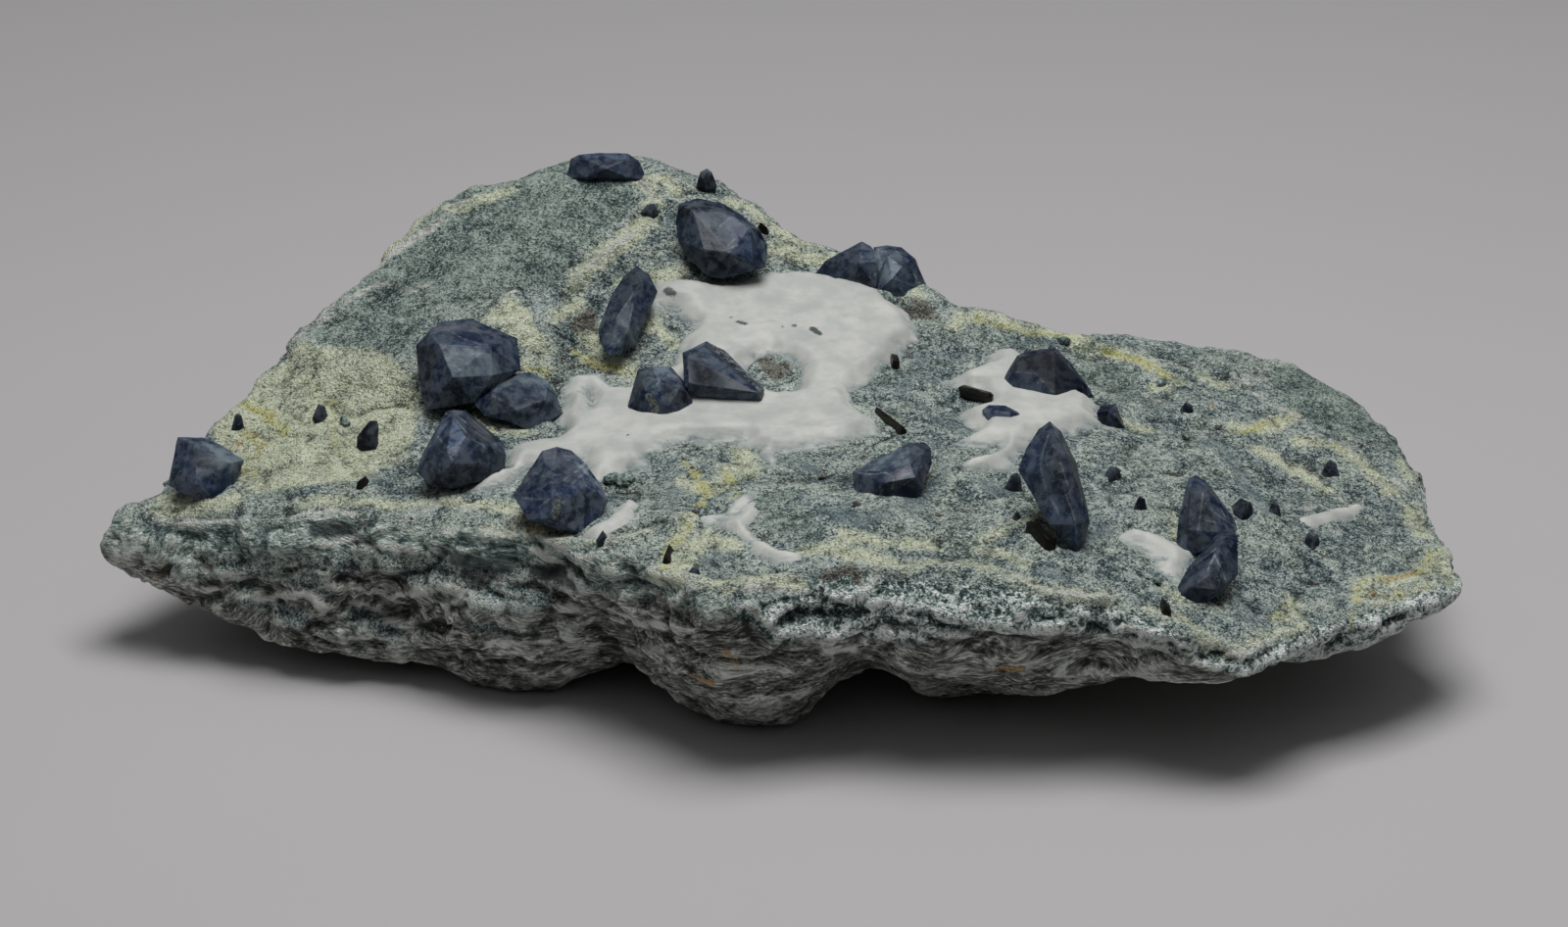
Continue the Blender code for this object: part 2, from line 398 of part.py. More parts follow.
def new_object(name, mesh, mineral):
    """Put a mesh in the scene under a name, with its mineral's finish."""
    obj = bpy.data.objects.new(name, mesh)
    bpy.context.collection.objects.link(obj)
    obj.data.materials.clear()
    obj.data.materials.append(material(mineral))
    return obj


def mesh_of(bm, name):
    """Turn a bmesh into a mesh and free it."""
    mesh = bpy.data.meshes.new(name)
    bm.to_mesh(mesh)
    bm.free()
    return mesh


def evaluated(obj):
    """Return a copy of the object's mesh with its modifiers worked in."""
    depsgraph = bpy.context.evaluated_depsgraph_get()
    return bpy.data.meshes.new_from_object(obj.evaluated_get(depsgraph))


def settle_modifiers(obj):
    """Replace the object's mesh with what its modifiers make, and drop them."""
    made = evaluated(obj)
    obj.modifiers.clear()
    obj.data = made


class Sheet:
    """A smooth height field through given spots, as a bent thin plate."""

    def __init__(self, spots, stiffness=0.5):
        self.at = np.array([spot[:2] for spot in spots])
        heights = np.array([spot[2] for spot in spots])
        count = len(spots)
        system = np.zeros((count + 3, count + 3))
        system[:count, :count] = self.kernel(self.at) + np.eye(count) * stiffness
        system[:count, count] = 1.0
        system[:count, count + 1:] = self.at
        system[count:, :count] = system[:count, count:].T
        self.weights = np.linalg.solve(system, np.append(heights, (0.0, 0.0, 0.0)))

    def kernel(self, points):
        away = np.linalg.norm(points[:, None, :] - self.at[None, :, :], axis=2)
        return away ** 2 * np.log(away + 1e-9)

    def height(self, x, y):
        point = np.array([[x, y]])
        bend = float((self.kernel(point) @ self.weights[:-3])[0])
        return bend + self.weights[-3] + self.weights[-2] * x + self.weights[-1] * y


def closed_curve(points, count):
    """Points at even spacing on a smooth closed curve through the given ones."""
    points = [np.array(point) for point in points]
    total = len(points)
    fine = []
    for index in range(total):
        before, start, end, after = (points[(index + step) % total] for step in (-1, 0, 1, 2))
        for part in range(8):
            t = part / 8
            fine.append(0.5 * (2 * start + (end - before) * t
                               + (2 * before - 5 * start + 4 * end - after) * t ** 2
                               + (3 * start - before - 3 * end + after) * t ** 3))
    fine = np.array(fine)
    steps = np.linalg.norm(np.roll(fine, -1, axis=0)[:, :2] - fine[:, :2], axis=1)
    along = np.concatenate(([0.0], np.cumsum(steps)))
    looped = np.vstack((fine, fine[:1]))
    wanted = np.arange(count) * along[-1] / count
    return np.column_stack([np.interp(wanted, along, column) for column in looped.T])


def smooth_step(value):
    value = min(max(value, 0.0), 1.0)
    return value * value * (3.0 - 2.0 * value)


def depth_inside(outline, x, y):
    """Distance from a point to an outline, positive inside it."""
    point = Vector((x, y))
    nearest = math.inf
    inside = False
    for index, corner in enumerate(outline):
        a = Vector(corner[:2])
        b = Vector(outline[index - 1][:2])
        on_line, share = intersect_point_line(point, a, b)
        share = min(max(share, 0.0), 1.0)
        nearest = min(nearest, (point - a.lerp(b, share)).length)
        if (a.y > y) != (b.y > y) and x < (b.x - a.x) * (y - a.y) / (b.y - a.y) + a.x:
            inside = not inside
    return nearest if inside else -nearest


def rock_rings():
    """Loops of points over the slab: upper face, side, under face, centre to centre."""
    edge = closed_curve(EDGE, POINTS_AROUND)
    upper = Sheet([row[:3] for row in EDGE] + FACE_SPOTS)
    under = Sheet([row[3:6] for row in EDGE] + UNDER_SPOTS)
    rim, low, bulge = edge[:, :3], edge[:, 3:6], edge[:, 6]
    middle = np.array((2.0, 32.0))
    outward = np.roll(rim, 1, axis=0)[:, :2] - np.roll(rim, -1, axis=0)[:, :2]
    outward = np.column_stack((outward[:, 1], -outward[:, 0]))
    outward /= np.linalg.norm(outward, axis=1)[:, None]
    outward *= np.sign(np.sum(outward * (rim[:, :2] - middle), axis=1))[:, None]
    rings = []
    for step in range(1, RINGS_ON_FACE + 1):
        share = (step / (RINGS_ON_FACE + 0.4)) ** 0.85
        flat = middle + (rim[:, :2] - middle) * share
        rings.append([(x, y, upper.height(x, y)) for x, y in flat])
    for step in range(RINGS_ON_SIDE + 1):
        share = step / RINGS_ON_SIDE
        swell = math.sin(math.pi * share ** 0.8)
        points = rim * (1 - share) + low * share
        points[:, :2] += outward * (bulge * swell)[:, None]
        rings.append([tuple(point) for point in points])
    for step in range(RINGS_ON_FACE, 0, -1):
        share = (step / (RINGS_ON_FACE + 0.4)) ** 0.85
        flat = middle + (low[:, :2] - middle) * share
        rings.append([(x, y, under.height(x, y)) for x, y in flat])
    return rings


def rock_shape():
    """Loft the rings into one closed skin."""
    bm = bmesh.new()
    loops = []
    for ring in rock_rings():
        corners = [bm.verts.new(Vector(point) * MM) for point in ring]
        loops.append([bm.edges.new((corners[index - 1], corners[index])) for index in range(len(corners))])
    for first, second in zip(loops, loops[1:]):
        bmesh.ops.bridge_loops(bm, edges=first + second)
    bmesh.ops.edgeloop_fill(bm, edges=loops[0])
    bmesh.ops.edgeloop_fill(bm, edges=loops[-1])
    bmesh.ops.recalc_face_normals(bm, faces=bm.faces)
    return mesh_of(bm, "rock")


def rough_push(point, normal):
    """How the rough break of the rock moves one point of its smooth form."""
    place = point / MM
    coarse = noise.noise(place / COARSE_SPAN + COARSE_SHIFT)
    fine = noise.noise(place * LAYERING / FINE_SPAN)
    push = normal * (coarse * COARSE_RELIEF + fine * FINE_RELIEF)
    up = max(normal.z, 0.0)
    ledge = (place.z / LEDGE_HEIGHT + noise.noise(place / COARSE_SPAN) * LEDGE_WAVE) % 1.0
    sideways = Vector((normal.x, normal.y, 0.0)) * (1.0 - abs(normal.z))
    push += sideways * (LEDGE_DEPTH * (smooth_step(ledge * LEDGE_LIP) - 0.5))
    rise = SLAB_STEP * smooth_step(depth_inside(GREEN_SLAB, place.x, place.y) / SLAB_STEP_RUN + 0.5)
    push += Vector((0.0, 0.0, rise * up * up))
    for x, y, z, reach, push_x, push_y, push_z in LUMPS:
        away = (place - Vector((x, y, z))).length / reach
        if away < 2.5:
            push += Vector((push_x, push_y, push_z)) * math.exp(-away * away)
    return push * MM


def make_rock():
    """The slab of rock, all one piece, cut flat where its feet stand."""
    rock = new_object("matrix", rock_shape(), "rock")
    remesh = rock.modifiers.new("even skin", "REMESH")
    remesh.mode = "VOXEL"
    remesh.voxel_size = ROCK_VOXEL * MM
    settle_modifiers(rock)
    moves = [rough_push(vert.co, vert.normal) for vert in rock.data.vertices]
    for vert, move in zip(rock.data.vertices, moves):
        vert.co += move
    rock.data.update()
    thin = rock.modifiers.new("fewer faces", "DECIMATE")
    thin.ratio = ROCK_TRIANGLES / (2 * len(rock.data.polygons))
    settle_modifiers(rock)
    bm = bmesh.new()
    bm.from_mesh(rock.data)
    everything = bm.verts[:] + bm.edges[:] + bm.faces[:]
    bmesh.ops.bisect_plane(bm, geom=everything, plane_no=(0, 0, 1), clear_inner=True)
    bmesh.ops.holes_fill(bm, edges=[edge for edge in bm.edges if edge.is_boundary])
    bmesh.ops.remove_doubles(bm, verts=bm.verts, dist=MERGE * MM)
    bmesh.ops.triangulate(bm, faces=bm.faces)
    bmesh.ops.recalc_face_normals(bm, faces=bm.faces)
    rock.data = mesh_of(bm, "matrix")
    rock.data.materials.append(material("rock"))
    return rock


def rock_height(x, y, around=0.0):
    """Height of the rock's upper face over a spot, or the highest a little way around it."""
    spots = [(x, y)]
    if around:
        spots += [(x + around, y), (x - around, y), (x, y + around), (x, y - around)]
    hits = [ROCK_TREE.ray_cast(Vector((*spot, 100.0)), Vector((0.0, 0.0, -1.0)))[0] for spot in spots]
    return max(hit.z for hit in hits if hit)


def hull_mesh(points, name="hull"):
    """The flat-faced solid round a set of corners."""
    bm = bmesh.new()
    for point in points:
        bm.verts.new(Vector(point) * MM)
    found = bmesh.ops.convex_hull(bm, input=bm.verts)
    spare = {item for key in ("geom_interior", "geom_unused") for item in found[key]}
    spare = [item for item in spare if isinstance(item, bmesh.types.BMVert)]
    bmesh.ops.delete(bm, geom=spare, context="VERTS")
    bmesh.ops.recalc_face_normals(bm, faces=bm.faces)
    return mesh_of(bm, name)


def grown_corners(points, by):
    """Corners of the same solid with each of its faces moved out."""
    hull = hull_mesh(points)
    moved = []
    for vert in hull.vertices:
        touching = [face.normal for face in hull.polygons if vert.index in face.vertices]
        step = np.linalg.lstsq(np.array(touching), np.full(len(touching), by), rcond=0.05)[0]
        moved.append(vert.co / MM + Vector(step))
    return moved


def hidden_cutter(name, mesh):
    """An object that only cuts others."""
    cutter = bpy.data.objects.new(name, mesh)
    bpy.context.collection.objects.link(cutter)
    cutter.hide_render = True
    cutter.display_type = "WIRE"
    return cutter


def boolean(obj, other, operation):
    step = obj.modifiers.new(operation.lower(), "BOOLEAN")
    step.operation = operation
    step.solver = "EXACT"
    step.object = other


def largest_body(bm):
    """Delete all but the largest connected body."""
    bodies = []
    waiting = set(bm.faces)
    while waiting:
        body = set()
        border = [next(iter(waiting))]
        while border:
            face = border.pop()
            if face in body:
                continue
            body.add(face)
            border.extend(other for edge in face.edges for other in edge.link_faces if other not in body)
        waiting -= body
        bodies.append(body)
    bodies.sort(key=lambda body: sum(face.calc_area() for face in body))
    small = [face for body in bodies[:-1] for face in body]
    bmesh.ops.delete(bm, geom=small, context="FACES")


def clean_cut(obj, mineral):
    """Work in the cuts, drop slivers and loose chips, and leave triangles."""
    settle_modifiers(obj)
    bm = bmesh.new()
    bm.from_mesh(obj.data)
    bmesh.ops.remove_doubles(bm, verts=bm.verts, dist=MERGE * MM)
    bmesh.ops.dissolve_degenerate(bm, edges=bm.edges, dist=MERGE * MM)
    largest_body(bm)
    bmesh.ops.triangulate(bm, faces=bm.faces)
    bmesh.ops.recalc_face_normals(bm, faces=bm.faces)
    if bm.calc_volume(signed=True) < 0:
        bmesh.ops.reverse_faces(bm, faces=bm.faces)
    obj.data = mesh_of(bm, obj.name)
    obj.data.materials.append(material(mineral))


def overlap(box, other):
    return all(box[0][i] < other[1][i] and other[0][i] < box[1][i] for i in range(3))


def box_of(mesh):
    places = np.array([vert.co for vert in mesh.vertices])
    return places.min(axis=0), places.max(axis=0)


def fit_among(obj, mineral, shapes):
    """Cut a new piece clear of the rock and of the crystals made before it.

    The shapes are the new piece's own corner sets, kept to cut the ones after it.
    """
    own = box_of(obj.data)
    boolean(obj, GROWN_ROCK, "DIFFERENCE")
    for cutter in CUTTERS if shapes else SKIN_CUTTERS:
        if overlap(own, box_of(cutter.data)):
            boolean(obj, cutter, "DIFFERENCE")
    clean_cut(obj, mineral)
    for shape in shapes:
        corners = grown_corners(shape, GAP)
        CUTTERS.append(hidden_cutter(obj.name + "_clearance", hull_mesh(corners)))
        above = [corner + Vector((0.0, 0.0, SKIN_ROOF)) for corner in corners]
        SKIN_CUTTERS.append(hidden_cutter(obj.name + "_open_above", hull_mesh(corners + above)))


def set_in_place(spot, corners):
    """Turn corners given right, up and near from a foot on the rock into places."""
    foot = Vector((spot[0], spot[1], rock_height(*spot)))
    right = Vector((1.0, 0.0, 0.0))
    up = Vector((0.0, math.sin(LEAN), math.cos(LEAN)))
    near = Vector((0.0, -math.cos(LEAN), math.sin(LEAN)))
    return [foot + right * u + up * v + near * w for u, v, w in corners]


def crystal_corners(spot, depth, outline, faces):
    """All corners of one large crystal: its outline, its front, and a narrower back."""
    middle = np.mean(outline, axis=0)
    back = [(middle[0] + (u - middle[0]) * BACK_SHARE, middle[1] + (v - middle[1]) * BACK_SHARE, w - depth)
            for u, v, w in outline]
    return set_in_place(spot, outline + faces + back)


def make_crystal(name, parts):
    shapes = [crystal_corners(*part) for part in parts]
    crystal = new_object(name, hull_mesh(shapes[0], name), "benitoite")
    for shape in shapes[1:]:
        boolean(crystal, hidden_cutter(name + "_other_half", hull_mesh(shape)), "UNION")
    fit_among(crystal, "benitoite", shapes)


def make_prism(name, spot, length, width, heading, rise):
    """A slender prism with chisel ends, lying along the slope of the rock."""
    ahead = Vector((math.cos(math.radians(heading)), math.sin(math.radians(heading)), 0.0))
    start = Vector(spot).to_3d() - ahead * length / 2
    end = Vector(spot).to_3d() + ahead * length / 2
    start.z = rock_height(start.x, start.y)
    end.z = rock_height(end.x, end.y)
    along = (end - start).normalized()
    side = along.cross(Vector((0.0, 0.0, 1.0))).normalized()
    over = side.cross(along)
    middle = (start + end) / 2 + over * rise
    corners = []
    for sign in (-1.0, 1.0):
        shoulder = middle + along * (sign * (length / 2 - width * PRISM_CHISEL))
        for right, high in PRISM_SECTION:
            corners.append(shoulder + side * (right * width) + over * (high * width))
        tip = middle + along * (sign * length / 2)
        corners.append(tip + side * (sign * width * 0.3))
        corners.append(tip - side * (sign * width * 0.2) + over * (width * 0.2))
    prism = new_object(name, hull_mesh(corners, name), "neptunite")
    fit_among(prism, "neptunite", [corners])


def make_grain(name, spot, width, height, turn, lean):
    """A small three-sided double pyramid with its tips cut off."""
    turned = Matrix.Rotation(math.radians(lean), 3, "Y") @ Matrix.Rotation(math.radians(turn), 3, "Z")
    middle = Vector((spot[0], spot[1], rock_height(*spot) + height * GRAIN_RISE))
    corners = []
    for index in range(6):
        across = Matrix.Rotation(math.radians(60.0 * index), 3, "Z") @ Vector((width, 0.0, 0.0))
        corners.append(across * (GRAIN_LONG if index % 2 else GRAIN_SHORT))
        if index % 2:
            corners.append(across * GRAIN_TIP + Vector((0.0, 0.0, height / 2)))
            corners.append(across * GRAIN_TIP - Vector((0.0, 0.0, height / 2)))
    corners = [middle + turned @ corner for corner in corners]
    grain = new_object(name, hull_mesh(corners, name), "benitoite")
    fit_among(grain, "benitoite", [corners])


def skin_spots(outline, island):
    """Points and edges of a skin seen from above: its rim, its hole's rim, and a grid."""
    rims = [outline] + ([island] if island else [])
    spots = []
    edges = []
    for rim in rims:
        turns = list(zip(rim, rim[1:] + rim[:1]))
        around = sum(math.dist(a, b) for a, b in turns)
        loop = closed_curve(rim, max(int(around / SKIN_POINTS * 1.2), 8))
        first = len(spots)
        spots.extend(Vector(point) for point in loop)
        edges.extend((first + step, first + (step + 1) % len(loop)) for step in range(len(loop)))
    lows = np.min(outline, axis=0)
    highs = np.max(outline, axis=0)
    row_gap = SKIN_POINTS * math.sqrt(3.0) / 2
    for row in range(int((highs[1] - lows[1]) / row_gap) + 1):
        for column in range(int((highs[0] - lows[0]) / SKIN_POINTS) + 1):
            x = lows[0] + (column + 0.5 * (row % 2)) * SKIN_POINTS
            y = lows[1] + row * row_gap
            inside = depth_inside(outline, x, y)
            if island:
                inside = min(inside, -depth_inside(island, x, y))
            if inside > SKIN_POINTS * 0.55:
                spots.append(Vector((x, y)))
    return spots, edges


def make_skin(name, outline, thickness, island):
    """A domed skin of natrolite that follows the rock under it."""
    spots, edges = skin_spots(outline, island)
    flat, _, triangles, *_ = delaunay_2d_cdt(spots, edges, [], 1, 1e-4)
    bm = bmesh.new()
    corners = [bm.verts.new((point.x, point.y, 0.0)) for point in flat]
    for triangle in triangles:
        centre = sum((flat[index] for index in triangle), Vector((0.0, 0.0))) / 3
        if not island or depth_inside(island, centre.x, centre.y) < 0:
            bm.faces.new([corners[index] for index in triangle])
    top = bm.faces[:]
    made = bmesh.ops.extrude_face_region(bm, geom=top)
    lower = {item for item in made["geom"] if isinstance(item, bmesh.types.BMVert)}
    for vert in bm.verts:
        x, y = vert.co.x, vert.co.y
        rock = rock_height(x, y, SKIN_PROBE)
        inside = max(depth_inside(outline, x, y), 0.0)
        if island:
            inside = min(inside, max(-depth_inside(island, x, y), 0.0))
        swell = (thickness - SKIN_EDGE) * (1.0 - math.exp(-inside / SKIN_RAMP))
        ripple = noise.noise(Vector((x, y, thickness)) / SKIN_RIPPLE_SPAN) * SKIN_RIPPLE
        swell += ripple * min(inside / SKIN_RAMP, 1.0)
        vert.co.z = rock - SKIN_DEPTH if vert in lower else rock + GAP + SKIN_EDGE + swell
        vert.co *= MM
    bmesh.ops.recalc_face_normals(bm, faces=bm.faces)
    skin = new_object(name, mesh_of(bm, name), "natrolite")
    fit_among(skin, "natrolite", [])


def stand_on_origin():
    """Bring the middle of the whole specimen's underside to the origin."""
    boxes = [box_of(obj.data) for obj in bpy.data.objects if not obj.hide_render]
    low = np.min([box[0] for box in boxes], axis=0)
    high = np.max([box[1] for box in boxes], axis=0)
    shift = Matrix.Translation((-(low[0] + high[0]) / 2, -(low[1] + high[1]) / 2, -low[2]))
    for mesh in {obj.data for obj in bpy.data.objects}:
        mesh.transform(shift)


for old in list(bpy.data.objects):
    bpy.data.objects.remove(old)

ROCK = make_rock()
ROCK_TREE = BVHTree.FromPolygons([vert.co / MM for vert in ROCK.data.vertices],
                                 [face.vertices for face in ROCK.data.polygons])
grown = ROCK.data.copy()
for vert in grown.vertices:
    vert.co += vert.normal * (ROCK_GAP * MM)
GROWN_ROCK = hidden_cutter("rock_clearance", grown)
CUTTERS = []
SKIN_CUTTERS = []
for name, parts in CRYSTALS.items():
    make_crystal(name, parts)
for name, row in PRISMS.items():
    make_prism(name, *row)
for name, row in GRAINS.items():
    make_grain(name, *row)
for name, row in NATROLITE.items():
    make_skin(name, *row)
stand_on_origin()
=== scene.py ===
"""The looks of a benitoite specimen: blue crystals and white natrolite on a slab of blue-green rock."""

import math

import bmesh
import bpy
import numpy as np
from bpy.props import FloatProperty, FloatVectorProperty, IntProperty, PointerProperty
from mathutils import Matrix, Vector, noise
from mathutils.bvhtree import BVHTree


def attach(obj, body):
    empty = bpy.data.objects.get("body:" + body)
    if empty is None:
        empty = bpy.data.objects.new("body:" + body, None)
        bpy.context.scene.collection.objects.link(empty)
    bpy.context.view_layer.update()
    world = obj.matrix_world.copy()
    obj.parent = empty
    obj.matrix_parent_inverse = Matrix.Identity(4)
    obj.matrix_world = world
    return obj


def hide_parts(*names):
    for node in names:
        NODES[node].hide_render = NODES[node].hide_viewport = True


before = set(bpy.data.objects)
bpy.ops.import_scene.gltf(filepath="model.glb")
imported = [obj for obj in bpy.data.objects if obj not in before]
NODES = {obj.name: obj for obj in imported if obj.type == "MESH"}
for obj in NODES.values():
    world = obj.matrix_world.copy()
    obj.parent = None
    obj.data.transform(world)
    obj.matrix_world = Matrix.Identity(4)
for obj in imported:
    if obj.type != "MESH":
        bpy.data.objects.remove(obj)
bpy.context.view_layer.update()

bl_info = {
    "name": "Benitoite specimen",
    "version": (1, 0, 0),
    "blender": (4, 5, 0),
    "location": "3D Viewport > Sidebar > Specimen",
    "description": "Dresses a loose slab of benitoite on matrix",
    "category": "Add Mesh",
}

MM = 0.001
TO_MM = 1000.0

